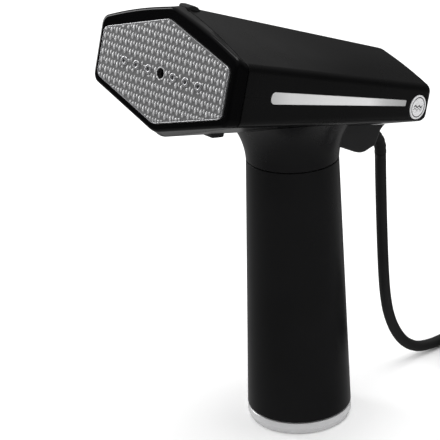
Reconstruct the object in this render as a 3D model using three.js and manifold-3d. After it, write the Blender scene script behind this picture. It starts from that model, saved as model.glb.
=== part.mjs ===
// Handheld garment steamer standing on its tank handle. Millimetres, +Z up.
// The handle axis is the Z axis and the tank's foot rests on z = 0.
// The steam plate faces -Y; the head leans its nose up by HEAD_TILT.
import * as THREE from "three";
import { mergeVertices } from "three/addons/utils/BufferGeometryUtils.js";
import Module from "manifold-3d";

const wasm = await Module();
wasm.setup();

// ---------- driving dimensions ----------
const GAP = 0.3;
const WALL = 2.4;
const ROUND = 32;
const ROD_SIDES = 14;

const BASE_RADIUS = 30;
const RING_TOP_Z = 7;
const TANK_BOTTOM_Z = 7.6;
const TANK_TOP_Z = 159.6;
const TANK_TOP_RADIUS = 26;
const TANK_WALL = 2;

const NECK_BOTTOM_Z = 160.1;
const NECK_TOP_Z = 192;
const NECK_FLARE = 0.013;
const NECK_FLARE_START_Z = 158;

const HEAD_TILT = THREE.MathUtils.degToRad(15.9);
const HEAD_ORIGIN = new THREE.Vector3(0, -88.6, 233.5);

// Hexagonal sections of the head, in the head's own frame: x across, y to the rear, z up.
// at: distance behind the steam plate. width, height: half sizes. side: half height of the
// upright sides. drop: how far the section's centre lies under the head's axis.
// swell: how far the upper slopes bow outward at their middle.
const BODY_FRONT = { at: 6.6, width: 56.8, height: 35.2, side: 15.6, drop: 0.9, swell: 1.5 };
const BODY_REAR = { at: 162, width: 42.1, height: 22.5, side: 9.6, drop: 5.9, swell: 1 };
const BODY_ROUNDING = { side: 5, apex: 12 };
const SWELL_RADIUS = 280;
const BEZEL = {
  width: 54.2, height: 32.8, side: 16.4, drop: 0, swell: 1.4, front: -0.6, back: 6.2, lip: 2.2,
};
const PLATE = { width: 50.6, height: 27.9, side: 13.1, drop: 0.9, front: -1.3, back: 1.7 };
const PLATE_ROUNDING = { side: 4, apex: 9 };

const NOZZLE_PITCH = 10;
const NOZZLE_ROW_Z = -1.9;
const NOZZLE_RADIUS = 2.6;

const STRIP = { from: 27, to: 140.8, frontHeight: 6.4, rearHeight: 3.4, thick: 1, proud: 0.3 };
const BADGE = { at: 151.6, below: 2, radius: 6.8, thick: 1.7, proud: 0.5 };

const PANEL = { front: 157.4, back: 159.6, inset: 3.4 };
const BUTTON = { radius: 7.5, z: -8, travel: 2.5 };
const ROCKER = { x: 20, y: 157, z: -6, width: 11, radius: 8.9 };
const LENS = { x: -20, z: -6, radius: 3 };
const LOCK = { z: 7, width: 9, height: 4.6, travel: 6 };

const CORD_RADIUS = 3.3;
const RELIEF = { startY: 45, bendY: 54.6, bendRadius: 14, z: 158, radius: 4, endZ: 142 };
const COIL = { x: 43.6, y: 147, mid: 37, turnsAcross: 3, layers: 3, bottom: 1.8 };
const PLUG = { x: 84, y: 88, z: 9.6 };

// ---------- materials ----------
const paint = (color, roughness, metalness = 0) => ({ color, roughness, metalness });
const GLOSS_BLACK = paint(0x08080a, 0.12);
const SATIN_BLACK = paint(0x141416, 0.35);
const MATTE_BLACK = paint(0x1a1a1c, 0.6);
const RUBBER = paint(0x121212, 0.85);
const BRIGHT_STEEL = paint(0xc4c6c8, 0.25, 1);
const PLATE_METAL = paint(0x8a8c90, 0.4, 1);
const CAST_ALUMINIUM = paint(0x9a9c9e, 0.55, 1);
const BRASS = paint(0xb08d4a, 0.35, 1);
const NATURAL_PLASTIC = paint(0xd8d8d2, 0.5);
const SILICONE = paint(0xc8c4bc, 0.7);
const CIRCUIT_GREEN = paint(0x1d5a34, 0.5);
const LENS_AMBER = paint(0xd98a2a, 0.15);

// ---------- solids ----------
function indexed(geometry) {
  const bare = geometry.clone();
  bare.deleteAttribute("normal");
  bare.deleteAttribute("uv");
  return mergeVertices(bare, 1e-4);
}

function signedVolume(positions, triangles) {
  const [a, b, c] = [new THREE.Vector3(), new THREE.Vector3(), new THREE.Vector3()];
  let sum = 0;
  for (let i = 0; i < triangles.length; i += 3) {
    a.fromArray(positions, triangles[i] * 3);
    b.fromArray(positions, triangles[i + 1] * 3);
    c.fromArray(positions, triangles[i + 2] * 3);
    sum += a.dot(b.cross(c)) / 6;
  }
  return sum;
}

// A closed three.js geometry as a manifold solid, its faces pointing out.
function solid(geometry) {
  const merged = indexed(geometry);
  const positions = Float32Array.from(merged.attributes.position.array);
  const triangles = [];
  for (let i = 0; i < merged.index.count; i += 3) {
    const [a, b, c] = [0, 1, 2].map((k) => merged.index.getX(i + k));
    if (a !== b && b !== c && c !== a) triangles.push(a, b, c);
  }
  if (signedVolume(positions, triangles) < 0) triangles.reverse();
  const triVerts = Uint32Array.from(triangles);
  return new wasm.Manifold(new wasm.Mesh({ numProp: 3, vertProperties: positions, triVerts }));
}

function geometryOf(manifold) {
  const mesh = manifold.getMesh();
  const geometry = new THREE.BufferGeometry();
  geometry.setAttribute("position", new THREE.BufferAttribute(mesh.vertProperties, 3));
  geometry.setIndex(new THREE.BufferAttribute(mesh.triVerts, 1));
  return geometry;
}

const joined = (first, ...others) => others.reduce((sum, other) => sum.add(other), first);
const cut = (first, ...others) => others.reduce((rest, other) => rest.subtract(other), first);

// ---------- basic shapes ----------
function box(x0, x1, y0, y1, z0, z1) {
  const geometry = new THREE.BoxGeometry(x1 - x0, y1 - y0, z1 - z0);
  return solid(geometry.translate((x0 + x1) / 2, (y0 + y1) / 2, (z0 + z1) / 2));
}

const UP = new THREE.Vector3(0, 1, 0);

// A straight round bar, or a cone, from one point to another.
function rod(from, to, radius, endRadius = radius, segments = ROD_SIDES) {
  const axis = to.clone().sub(from);
  const geometry = new THREE.CylinderGeometry(endRadius, radius, axis.length(), segments);
  geometry.applyQuaternion(new THREE.Quaternion().setFromUnitVectors(UP, axis.clone().normalize()));
  return solid(geometry.translate(...from.clone().add(to).multiplyScalar(0.5).toArray()));
}

const at = (x, y, z) => new THREE.Vector3(x, y, z);

// A solid of revolution about Z from [radius, height] pairs that close on the axis or the start.
function turned(profile, segments = ROUND) {
  const points = profile.map(([radius, height]) => new THREE.Vector2(radius, height));
  return solid(new THREE.LatheGeometry(points, segments).rotateX(Math.PI / 2));
}

function turnedRing(profile, segments = ROUND) {
  return turned([...profile, profile[0]], segments);
}

// A closed outline in x, z with each corner turned into an arc of its own radius.
function roundedOutline(corners, radii, steps) {
  return corners.flatMap((corner, i) => {
    const before = corners[(i + corners.length - 1) % corners.length].clone().sub(corner).normalize();
    const after = corners[(i + 1) % corners.length].clone().sub(corner).normalize();
    const half = Math.acos(before.dot(after)) / 2;
    const middle = before.clone().add(after).normalize();
    const centre = corner.clone().addScaledVector(middle, radii[i] / Math.sin(half));
    const start = corner.clone().addScaledVector(before, radii[i] / Math.tan(half)).sub(centre);
    const turn = (Math.PI - 2 * half) * Math.sign(before.cross(after)) * -1;
    return Array.from({ length: steps + 1 }, (_, k) =>
      start.clone().rotateAround(new THREE.Vector2(), (turn * k) / steps).add(centre));
  });
}

// The rounded hexagon of a head section: apexes above and below, upright sides.
function hexagon({ width, height, side, drop = 0, swell = 0 }, rounding, inset = 0, steps = 3) {
  const slope = Math.atan((height - side) / width);
  const w = width - inset;
  const h = height - inset / Math.cos(slope);
  const s = h - w * Math.tan(slope);
  const { side: r, apex } = rounding;
  const corners = [[0, h, apex], [-w, s, r], [-w, -s, r], [0, -h, apex], [w, -s, r], [w, s, r]];
  if (swell > 0) {
    const [x, z] = [w / 2 + swell * Math.sin(slope), (h + s) / 2 + swell * Math.cos(slope)];
    corners.splice(1, 0, [-x, z, SWELL_RADIUS]);
    corners.push([x, z, SWELL_RADIUS]);
  }
  const radii = corners.map(([, , radius]) => Math.max(radius - inset, 0.6));
  const outline = roundedOutline(corners.map(([x, z]) => new THREE.Vector2(x, z)), radii, steps);
  return outline.map((p) => new THREE.Vector2(p.x, p.y - drop));
}

// A closed skin over outlines of equal point counts, each at its own distance along y.
function loft(sections) {
  const count = sections[0].outline.length;
  const positions = sections.flatMap(({ outline, y }) => outline.flatMap((p) => [p.x, y, p.y]));
  const triangles = [];
  const last = (sections.length - 1) * count;
  for (let ring = 0; ring < sections.length - 1; ring += 1) {
    for (let i = 0; i < count; i += 1) {
      const a = ring * count + i;
      const b = ring * count + ((i + 1) % count);
      triangles.push(a, b, a + count, b, b + count, a + count);
    }
  }
  for (let i = 1; i < count - 1; i += 1) {
    triangles.push(0, i + 1, i, last, last + i, last + i + 1);
  }
  const geometry = new THREE.BufferGeometry();
  geometry.setAttribute("position", new THREE.Float32BufferAttribute(positions, 3));
  geometry.setIndex(triangles);
  return solid(geometry);
}

function hexPrism(section, rounding, y0, y1, inset = 0) {
  const outline = hexagon(section, rounding, inset);
  return loft([{ outline, y: y0 }, { outline, y: y1 }]);
}

// A round tube or bar along a curve.
function along(points, radius, sides, steps) {
  const curve = new THREE.CatmullRomCurve3(points, false, "centripetal");
  const section = new THREE.Shape(
    Array.from({ length: sides }, (_, k) => {
      const angle = (2 * Math.PI * k) / sides;
      return new THREE.Vector2(radius * Math.cos(angle), radius * Math.sin(angle));
    }),
  );
  return solid(new THREE.ExtrudeGeometry(section, { steps, extrudePath: curve, curveSegments: 1 }));
}

// A flat outline in y, z with a thickness across x.
function slab(outline, x0, x1) {
  const shape = new THREE.Shape(outline.map(([y, z]) => new THREE.Vector2(y, z)));
  const geometry = new THREE.ExtrudeGeometry(shape, { depth: x1 - x0, bevelEnabled: false });
  const basis = new THREE.Matrix4().makeBasis(at(0, 1, 0), at(0, 0, 1), at(1, 0, 0));
  return solid(geometry.applyMatrix4(basis).translate(x0, 0, 0));
}

const mirroredX = (manifold) => solid(geometryOf(manifold).scale(-1, 1, 1));

// ---------- the scene graph ----------
const steamer = new THREE.Group();
const head = new THREE.Group();
head.position.copy(HEAD_ORIGIN);
head.rotation.x = -HEAD_TILT;
head.updateMatrix();
steamer.add(head);

const headToWorld = head.matrix.clone();
const worldToHead = headToWorld.clone().invert();
const inWorld = (manifold) => solid(geometryOf(manifold).applyMatrix4(headToWorld));
const inHead = (manifold) => solid(geometryOf(manifold).applyMatrix4(worldToHead));

function place(group, name, manifold, look) {
  const mesh = new THREE.Mesh(geometryOf(manifold), new THREE.MeshStandardMaterial(look));
  mesh.name = name;
  group.add(mesh);
}

// ---------- head casing ----------
function bodySection(y) {
  const share = (y - BODY_FRONT.at) / (BODY_REAR.at - BODY_FRONT.at);
  const mix = (key) => THREE.MathUtils.lerp(BODY_FRONT[key], BODY_REAR[key], share);
  return Object.fromEntries(
    ["width", "height", "side", "drop", "swell"].map((key) => [key, mix(key)]),
  );
}

function bodyLoft(stations) {
  return loft(stations.map(([y, inset]) => ({
    outline: hexagon(bodySection(y), BODY_ROUNDING, inset), y,
  })));
}

const bodyOuter = bodyLoft([
  [BODY_FRONT.at, 0], [BODY_REAR.at - 3.2, 0], [BODY_REAR.at - 1, 0.8], [BODY_REAR.at, 2],
]);
const bodyInner = bodyLoft([[BODY_FRONT.at - 4, WALL], [BODY_REAR.at + 3, WALL + 0.4]]);
const bodyClearance = bodyLoft([[BODY_FRONT.at - 4, -GAP], [BODY_REAR.at + 3, -GAP]]);

// The plane along the middle of both sides, where the upper and lower shells meet.
const SPLIT_SLOPE = Math.atan((BODY_REAR.drop - BODY_FRONT.drop) / (BODY_REAR.at - BODY_FRONT.at));

function halfSpace(sign) {
  const reach = 200;
  const geometry = new THREE.BoxGeometry(reach, 2 * reach, reach);
  geometry.translate(0, 0, sign * (reach / 2 + GAP / 2));
  geometry.rotateX(-SPLIT_SLOPE).translate(0, BODY_FRONT.at, 0);
  return solid(geometry);
}

// Frame of the +X side face: first axis rearward along the face, second up, third outward.
const SIDE_TAPER = Math.atan(
  (BODY_FRONT.width - BODY_REAR.width) / (BODY_REAR.at - BODY_FRONT.at),
);

function onSide(geometry, y) {
  const { width, drop } = bodySection(y);
  const rearward = at(-Math.sin(SIDE_TAPER), Math.cos(SIDE_TAPER), -Math.tan(SPLIT_SLOPE)).normalize();
  const outward = at(Math.cos(SIDE_TAPER), Math.sin(SIDE_TAPER), 0);
  const upward = outward.clone().cross(rearward);
  const basis = new THREE.Matrix4().makeBasis(rearward, upward, outward);
  return solid(geometry.applyMatrix4(basis).translate(width, y, -drop));
}

function stripSolid(margin, bottom, top) {
  const length = STRIP.to - STRIP.from + margin;
  const front = STRIP.frontHeight / 2 + margin;
  const rear = STRIP.rearHeight / 2 + margin;
  const shape = new THREE.Shape();
  shape.moveTo(length, -rear);
  shape.lineTo(length, rear);
  shape.lineTo(front, front);
  shape.absarc(front - margin, 0, front, Math.PI / 2, (3 * Math.PI) / 2);
  const geometry = new THREE.ExtrudeGeometry(shape, {
    depth: top - bottom, bevelEnabled: false, curveSegments: 8,
  });
  return onSide(geometry.translate(0, 0, bottom), STRIP.from);
}

function badgeSolid(margin, bottom, top) {
  const geometry = new THREE.CylinderGeometry(
    BADGE.radius + margin, BADGE.radius + margin, top - bottom, 28,
  );
  return onSide(geometry.rotateX(Math.PI / 2).translate(0, -BADGE.below, (top + bottom) / 2), BADGE.at);
}

// The four casing screws enter from under the head; x and y in the head's frame.
const BODY_SCREWS = [[-30, 40], [30, 40], [-26, 118], [26, 118]];
const SCREW_SEAT_Z = -12;

function screwWells() {
  return BODY_SCREWS.map(([x, y]) => rod(at(x, y, -34), at(x, y, SCREW_SEAT_Z + 4), 4.6));
}

function screwBores() {
  return BODY_SCREWS.flatMap(([x, y]) => [
    rod(at(x, y, -40), at(x, y, SCREW_SEAT_Z), 3.3),
    rod(at(x, y, -40), at(x, y, 12), 1.7),
  ]);
}

function screwPosts() {
  return BODY_SCREWS.map(([x, y]) => rod(at(x, y, SCREW_SEAT_Z + 4.4), at(x, y, 30), 3.8));
}

function fullCasing() {
  const grooves = [
    stripSolid(GAP, -STRIP.thick - GAP + STRIP.proud, 4),
    badgeSolid(GAP, -BADGE.thick - GAP + BADGE.proud, 4),
  ];
  return cut(bodyOuter, bodyInner, ...grooves, ...grooves.map(mirroredX));
}

function upperShell(casing) {
  const posts = screwPosts().map((post) => post.intersect(bodyOuter));
  return cut(joined(casing.intersect(halfSpace(1)), ...posts), ...screwBores());
}

// Hose and wire passage from the neck into the head, in the world frame.
const PASSAGE = { y: 14, radius: 11 };
const SOCKET_COLUMNS_X = [-17, 17];
const NECK_SCREW_SEAT_Z = 187.4;

function lowerShell(casing) {
  const wells = screwWells().map((well) => well.intersect(bodyOuter));
  const passage = inHead(rod(at(0, PASSAGE.y, 150), at(0, PASSAGE.y, 200), PASSAGE.radius));
  const screwHoles = SOCKET_COLUMNS_X.map((x) => inHead(rod(at(x, 0, 150), at(x, 0, 200), 1.8)));
  const lower = joined(casing.intersect(halfSpace(-1)), ...wells);
  return cut(lower, ...screwBores(), passage, ...screwHoles);
}

// A countersunk-looking cap screw: head of radius 2.9 from seat to seat + 2, thin shank beyond.
function screw(seat, direction, length) {
  const top = seat.clone().addScaledVector(direction, -2);
  const end = seat.clone().addScaledVector(direction, length);
  return joined(rod(top, seat, 2.2, 2.9, 14), rod(top, end, 1.35, 1.35, 10));
}

function casing() {
  const full = fullCasing();
  place(head, "upper_body_shell", upperShell(full), SATIN_BLACK);
  place(head, "lower_body_shell", lowerShell(full), SATIN_BLACK);
  BODY_SCREWS.forEach(([x, y], i) => {
    const seat = at(x, y, SCREW_SEAT_Z - GAP);
    place(head, `body_screw_${i + 1}`, screw(seat, at(0, 0, 1), 16), BRIGHT_STEEL);
  });
}

function sideTrim() {
  const strip = stripSolid(0, -STRIP.thick + STRIP.proud, STRIP.proud);
  const badge = badgeSolid(0, -BADGE.thick + BADGE.proud, BADGE.proud);
  place(head, "side_trim_strip_right", strip, BRIGHT_STEEL);
  place(head, "side_trim_strip_left", mirroredX(strip), BRIGHT_STEEL);
  place(head, "round_badge_right", badge, BRIGHT_STEEL);
  place(head, "round_badge_left", mirroredX(badge), BRIGHT_STEEL);
}

// ---------- steam plate, bezel and boiler ----------
const NOZZLE_XS = [-3, -2, -1, 1, 2, 3].map((k) => k * NOZZLE_PITCH);

function steamPlate() {
  const front = hexagon(PLATE, PLATE_ROUNDING, 0.5);
  const full = hexagon(PLATE, PLATE_ROUNDING);
  const blank = loft([
    { outline: front, y: PLATE.front }, { outline: full, y: PLATE.front + 0.5 },
    { outline: full, y: PLATE.back },
  ]);
  const holes = NOZZLE_XS.map((x) =>
    rod(at(x, -5, NOZZLE_ROW_Z), at(x, 5, NOZZLE_ROW_Z), 1.9, 1.9, 14));
  const centre = rod(at(0, -5, NOZZLE_ROW_Z), at(0, 5, NOZZLE_ROW_Z), 2.8, 2.8, 16);
  return cut(blank, ...holes, centre);
}

// A pressed-in bush whose rounded rim stands on the plate's face.
function nozzleBush(x) {
  const rim = PLATE.front - GAP;
  const profile = [
    [1.1, rim - 0.6], [2, rim - 0.6], [NOZZLE_RADIUS, rim], [1.6, rim], [1.6, PLATE.back],
    [1.1, PLATE.back],
  ];
  const bush = geometryOf(turnedRing(profile, 12)).rotateX(-Math.PI / 2);
  return solid(bush.translate(x, 0, NOZZLE_ROW_Z));
}

function bezel() {
  const rounding = { side: 6, apex: 14 };
  const back = { ...BODY_FRONT, width: 56.7 };
  const middle = { width: 55, height: 33.7, side: 16.8, swell: 1.5 };
  const skin = loft([
    { outline: hexagon(BEZEL, rounding, 1.4), y: BEZEL.front },
    { outline: hexagon(BEZEL, rounding, 0.4), y: BEZEL.front + 0.5 },
    { outline: hexagon(middle, rounding), y: BEZEL.front + 2 },
    { outline: hexagon(back, BODY_ROUNDING), y: BEZEL.back },
  ]);
  const window = hexPrism(PLATE, PLATE_ROUNDING, -5, 12, -GAP - 0.05);
  const hollow = loft([
    { outline: hexagon(middle, rounding, 2.4), y: BEZEL.lip },
    { outline: hexagon(back, BODY_ROUNDING, 2.4), y: BEZEL.back + 2 },
  ]);
  return cut(skin, window, hollow);
}

function gasket() {
  const edge = { width: 51.2, height: 29.2, side: 13.7, drop: PLATE.drop };
  const outer = hexPrism(edge, PLATE_ROUNDING, 2.5, 4.5);
  const inner = hexPrism({ width: 46.4, height: 24.6, side: 11.4 }, PLATE_ROUNDING, 0, 8);
  return cut(outer, inner);
}

// Catches for the brush attachment, on the ridges above and below the head: side views in y, z.
const CATCH_TOP = [[7, 31], [7, 34.3], [8, 34.9], [10.8, 34.9], [13.5, 34.2], [15.6, 32.6], [15.6, 31]];
const CATCH_BOTTOM = [[39, -31], [47.6, -31], [47.6, -34.5], [47, -35], [39.6, -35.6], [39, -35.2]];

function brushCatch(outline, halfWidth) {
  return cut(slab(outline, -halfWidth, halfWidth), bodyClearance);
}

const BOILER = { width: 46, height: 24, side: 11, front: 2.1, back: 17 };

function boilerBlock() {
  const block = hexPrism(BOILER, PLATE_ROUNDING, BOILER.front, BOILER.back);
  const chamber = box(-36, 36, 0, 10, -8, 7);
  const inlet = rod(at(0, 5, 4), at(0, 30, 4), 1.5, 1.5, 12);
  return cut(block, chamber, inlet);
}

function heatingElement() {
  const y = BOILER.back + 3.7;
  const points = [
    at(-14, 30, -13), at(-14, 24, -13), at(-18, y + 0.6, -13), at(-26, y, -12.6), at(-34, y, -8),
    at(-37, y, 0), at(-33, y, 8), at(-22, y, 12.5), at(0, y, 14.5), at(22, y, 12.5),
    at(33, y, 8), at(37, y, 0), at(34, y, -8), at(26, y, -12.6), at(18, y + 0.6, -13),
    at(14, 24, -13), at(14, 30, -13),
  ];
  const pins = [-14, 14].map((x) => rod(at(x, 29, -13), at(x, 38, -13), 1.2, 1.2, 10));
  return joined(along(points, 3.2, 8, 34), ...pins);
}

function heatShield() {
  const plate = hexPrism({ width: 45, height: 26, side: 12 }, PLATE_ROUNDING, 27, 28);
  const leads = [-14, 14].map((x) => rod(at(x, 20, -13), at(x, 35, -13), 4.2, 4.2, 14));
  return cut(plate, ...leads, rod(at(0, 20, 4), at(0, 35, 4), 3.6, 3.6, 14));
}

function boilerInlet() {
  const start = BOILER.back + GAP;
  return joined(
    rod(at(0, start, 4), at(0, start + 5, 4), 4, 4, 6),
    rod(at(0, start, 4), at(0, start + 16, 4), 2.2, 2.2, 16),
  );
}

function thermostat() {
  const start = BOILER.back + GAP;
  return joined(
    rod(at(-17, start, -1), at(-17, start + 6, -1), 7, 7, 24),
    box(-20, -18.4, start + 2, start + 9.4, -3, 1),
    box(-15.6, -14, start + 2, start + 9.4, -3, 1),
  );
}

function thermalFuse() {
  const start = BOILER.back + GAP;
  return joined(
    rod(at(10, start + 2.4, -1), at(24, start + 2.4, -1), 2.2, 2.2, 14),
    box(13, 21, start, start + 2, -2.6, 0.6),
  );
}

function heatModule() {
  place(head, "steam_plate", steamPlate(), PLATE_METAL);
  NOZZLE_XS.forEach((x, i) => place(head, `nozzle_bush_${i + 1}`, nozzleBush(x), BRIGHT_STEEL));
  place(head, "front_bezel", bezel(), GLOSS_BLACK);
  place(head, "plate_gasket", gasket(), SILICONE);
  place(head, "brush_catch_top", brushCatch(CATCH_TOP, 4.2), MATTE_BLACK);
  place(head, "brush_catch_bottom", brushCatch(CATCH_BOTTOM, 3.6), MATTE_BLACK);
  place(head, "boiler_block", boilerBlock(), CAST_ALUMINIUM);
  place(head, "heating_element", heatingElement(), BRIGHT_STEEL);
  place(head, "heat_shield", heatShield(), BRIGHT_STEEL);
  place(head, "boiler_inlet", boilerInlet(), BRASS);
  place(head, "thermostat", thermostat(), NATURAL_PLASTIC);
  place(head, "thermal_fuse", thermalFuse(), BRIGHT_STEEL);
}

// ---------- pump, hoses and electronics ----------
const PUMP = { y: 80, z: -8 };

function waterPump() {
  const { y, z } = PUMP;
  return joined(
    box(-12, 12, y - 13, y + 13, z - 11, z + 11),
    rod(at(0, y - 22, z), at(0, y + 20, z), 7, 7, 20),
    rod(at(0, y - 32, z), at(0, y - 20, z), 2.2, 2.2, 14),
    rod(at(0, y + 18, z), at(0, y + 26, z), 2.2, 2.2, 14),
  );
}

// A rubber-lined cradle under the pump.
function pumpCradle() {
  const { y, z } = PUMP;
  const floor = box(-12, 12, y - 9, y + 9, z - 14, z - 11 - GAP);
  const cheeks = [-1, 1].map((side) =>
    box(Math.min(side * 12.3, side * 14.3), Math.max(side * 12.3, side * 14.3),
      y - 9, y + 9, z - 14, z + 2));
  const ledges = [-1, 1].map((side) =>
    box(Math.min(side * 11.5, side * 14.3), Math.max(side * 11.5, side * 14.3),
      y - 9, y + 9, z - 14, z - 11 - GAP));
  return joined(floor, ...ledges, ...cheeks);
}

function deliveryHose() {
  const start = BOILER.back + GAP + 16 + GAP;
  const points = [at(0, start, 4), at(0, start + 5, 4), at(0, 42, -2), at(0, PUMP.y - 38, PUMP.z),
    at(0, PUMP.y - 32 - GAP, PUMP.z)];
  return along(points, 2.6, 10, 12);
}

const PICKUP = { x: 0, y: 14 };

function suctionHose() {
  const outlet = at(0, PUMP.y + 26 + GAP, PUMP.z).applyMatrix4(headToWorld);
  const rearward = at(0, 1, 0).transformDirection(headToWorld);
  const points = [outlet, outlet.clone().addScaledVector(rearward, 3), at(0, 21, 196),
    at(0, 18, 186), at(PICKUP.x, PICKUP.y, 178), at(PICKUP.x, PICKUP.y, 171.3)];
  return along(points, 2.6, 10, 16);
}

function controlBoard() {
  return joined(
    box(-22, 22, 64, 114, 8.4, 10),
    box(-20, -8, 70, 86, 9, 15.5),
    box(2, 14, 72, 80, 9, 14),
    rod(at(8, 94, 9), at(8, 94, 15.6), 4, 4, 16),
    box(-18, -6, 96, 110, 9, 12.2),
    box(5, 17, 102, 111, 9, 12),
  );
}

function electronics() {
  place(head, "water_pump", waterPump(), NATURAL_PLASTIC);
  place(head, "pump_cradle", pumpCradle(), RUBBER);
  place(head, "delivery_hose", deliveryHose(), SILICONE);
  place(steamer, "suction_hose", suctionHose(), SILICONE);
  place(head, "control_board", controlBoard(), CIRCUIT_GREEN);
}

// ---------- rear panel and controls ----------
const panelOuter = hexPrism(bodySection(PANEL.back), BODY_ROUNDING, PANEL.front, PANEL.back, PANEL.inset);
const PANEL_SCREWS = [[-31, -5.9], [31, -5.9]];

function rearPanel() {
  const { x, z, width, radius } = ROCKER;
  const [front, back] = [PANEL.front - 5, PANEL.back + 5];
  const rockerHalf = width / 2 + GAP;
  const slot = LOCK.width / 2 + LOCK.travel / 2 + GAP;
  const slotHalf = LOCK.height / 2 + GAP;
  const through = (cx, cz, r, sides) => rod(at(cx, front, cz), at(cx, back, cz), r, r, sides);
  const cuts = [
    through(0, BUTTON.z, BUTTON.radius + GAP, 28),
    box(x - rockerHalf, x + rockerHalf, front, back, z - radius - GAP, z + radius + GAP),
    box(-slot, slot, front, back, LOCK.z - slotHalf, LOCK.z + slotHalf),
    through(LENS.x, LENS.z, LENS.radius + GAP, 18),
    ...PANEL_SCREWS.map(([sx, sz]) => through(sx, sz, 1.7, 12)),
  ];
  return cut(panelOuter, ...cuts);
}

// The button's cap, its domed edge and the stem that presses the microswitch.
function steamButton() {
  const { z, radius } = BUTTON;
  return joined(
    rod(at(0, 155.4, z), at(0, 161, z), radius, radius, 28),
    rod(at(0, 160.9, z), at(0, 161.7, z), radius, radius - 1.6, 28),
    rod(at(0, 148.6, z), at(0, 156, z), 2.2),
  );
}

function steamSwitch() {
  const bodyHalf = 3.2;
  const plungerHalf = 1.2;
  return joined(
    box(-6.4, 6.4, 134, 144, BUTTON.z - bodyHalf, BUTTON.z + bodyHalf),
    box(-plungerHalf, plungerHalf, 143, 145.6, BUTTON.z - plungerHalf, BUTTON.z + plungerHalf),
  );
}

// A V-faced rocker whose ends lie on an arc about its pivot, its upper half standing out.
function powerRocker() {
  const { x, y, z, width } = ROCKER;
  const fromPivot = [[3.2, -8.3], [3.2, 0], [5.2, 7.2], [3.2, 8.3], [1, 8.84], [-3, 0], [1, -8.84]];
  return slab(fromPivot.map(([dy, dz]) => [y + dy, z + dz]), x - width / 2, x + width / 2);
}

function rockerHousing() {
  const { x, y, z, radius, width } = ROCKER;
  const wellHalf = { x: width / 2 + 0.4, z: radius + 0.4 };
  const half = { x: wellHalf.x + 0.8, z: wellHalf.z + 0.8 };
  const body = box(x - half.x, x + half.x, y - 19, y - 0.2, z - half.z, z + half.z);
  const well = box(x - wellHalf.x, x + wellHalf.x, y - 6, y + 3, z - wellHalf.z, z + wellHalf.z);
  const tabs = [-4, 4].map((dz) => box(x - 0.5, x + 0.5, y - 26, y - 17, z + dz - 2, z + dz + 2));
  return cut(joined(body, ...tabs), well);
}

// The slider stands at the -X end of its slot; its flange keeps it behind the panel.
function steamLock() {
  const from = -(LOCK.width + LOCK.travel) / 2;
  const to = from + LOCK.width;
  const half = LOCK.height / 2;
  const lip = 1.6;
  return joined(
    box(from, to, 156, 161.2, LOCK.z - half, LOCK.z + half),
    box(from - lip, to + lip, 153.4, 157, LOCK.z - half - 1, LOCK.z + half + 1),
  );
}

function indicatorLens() {
  const { x, z, radius } = LENS;
  return joined(
    rod(at(x, 154, z), at(x, 160.2, z), radius, radius - 0.3, 18),
    rod(at(x, 153.4, z), at(x, 157, z), radius + 1.2, radius + 1.2, 18),
  );
}

function rearControls() {
  place(head, "rear_panel", rearPanel(), GLOSS_BLACK);
  place(head, "steam_button", steamButton(), SATIN_BLACK);
  place(head, "steam_microswitch", steamSwitch(), MATTE_BLACK);
  place(head, "power_rocker", powerRocker(), MATTE_BLACK);
  place(head, "power_switch_housing", rockerHousing(), MATTE_BLACK);
  place(head, "steam_lock_slider", steamLock(), MATTE_BLACK);
  place(head, "indicator_lens", indicatorLens(), LENS_AMBER);
  PANEL_SCREWS.forEach(([x, z], i) => {
    const seat = at(x, PANEL.back + GAP, z);
    place(head, `panel_screw_${i + 1}`, screw(seat, at(0, -1, 0), 10), BRIGHT_STEEL);
  });
}

// ---------- neck ----------
const neckRadius = (z) => TANK_TOP_RADIUS + NECK_FLARE * (z - NECK_FLARE_START_Z) ** 2;

function neckProfile(margin, bottom, top) {
  const steps = 6;
  const curve = Array.from({ length: steps + 1 }, (_, k) => {
    const z = bottom + ((top - bottom) * k) / steps;
    return [neckRadius(z) + margin, z];
  });
  return [[0, bottom], ...curve, [0, top]];
}

function neckShell() {
  const outer = turned(neckProfile(0, NECK_BOTTOM_Z, NECK_TOP_Z));
  const inner = turned(neckProfile(-WALL, NECK_BOTTOM_Z - 1, NECK_TOP_Z + 1));
  const cordWay = rod(at(0, 20, 172), at(0, 36, 168), 5);
  return cut(outer, inner, inWorld(bodyClearance), cordWay);
}

// Side view of the chin behind the neck that takes the cord, in y, z.
const CHIN = [
  [18, 164], [26.5, 160.4], [37.5, 154], [40, 153], [43, 153], [51, 156.2], [56, 160.8],
  [61, 168], [61, 186], [18, 186],
];
const CHIN_HALF_WIDTH = 12.5;

const CHIN_HOLLOW = { halfWidth: 9.5, floor: 156, back: 46 };

function cordHousing() {
  const { halfWidth, floor, back } = CHIN_HOLLOW;
  const body = slab(CHIN, -CHIN_HALF_WIDTH, CHIN_HALF_WIDTH);
  const neck = turned(neckProfile(GAP, NECK_BOTTOM_Z - 5, NECK_TOP_Z + 1));
  const hollow = box(-halfWidth, halfWidth, 20, back, floor, 190);
  const clear = RELIEF.radius + GAP;
  const bore = rod(at(0, back - 4, RELIEF.z), at(0, back + 20, RELIEF.z), clear, clear, 18);
  return cut(body, neck, inWorld(bodyClearance), hollow, bore);
}

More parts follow.
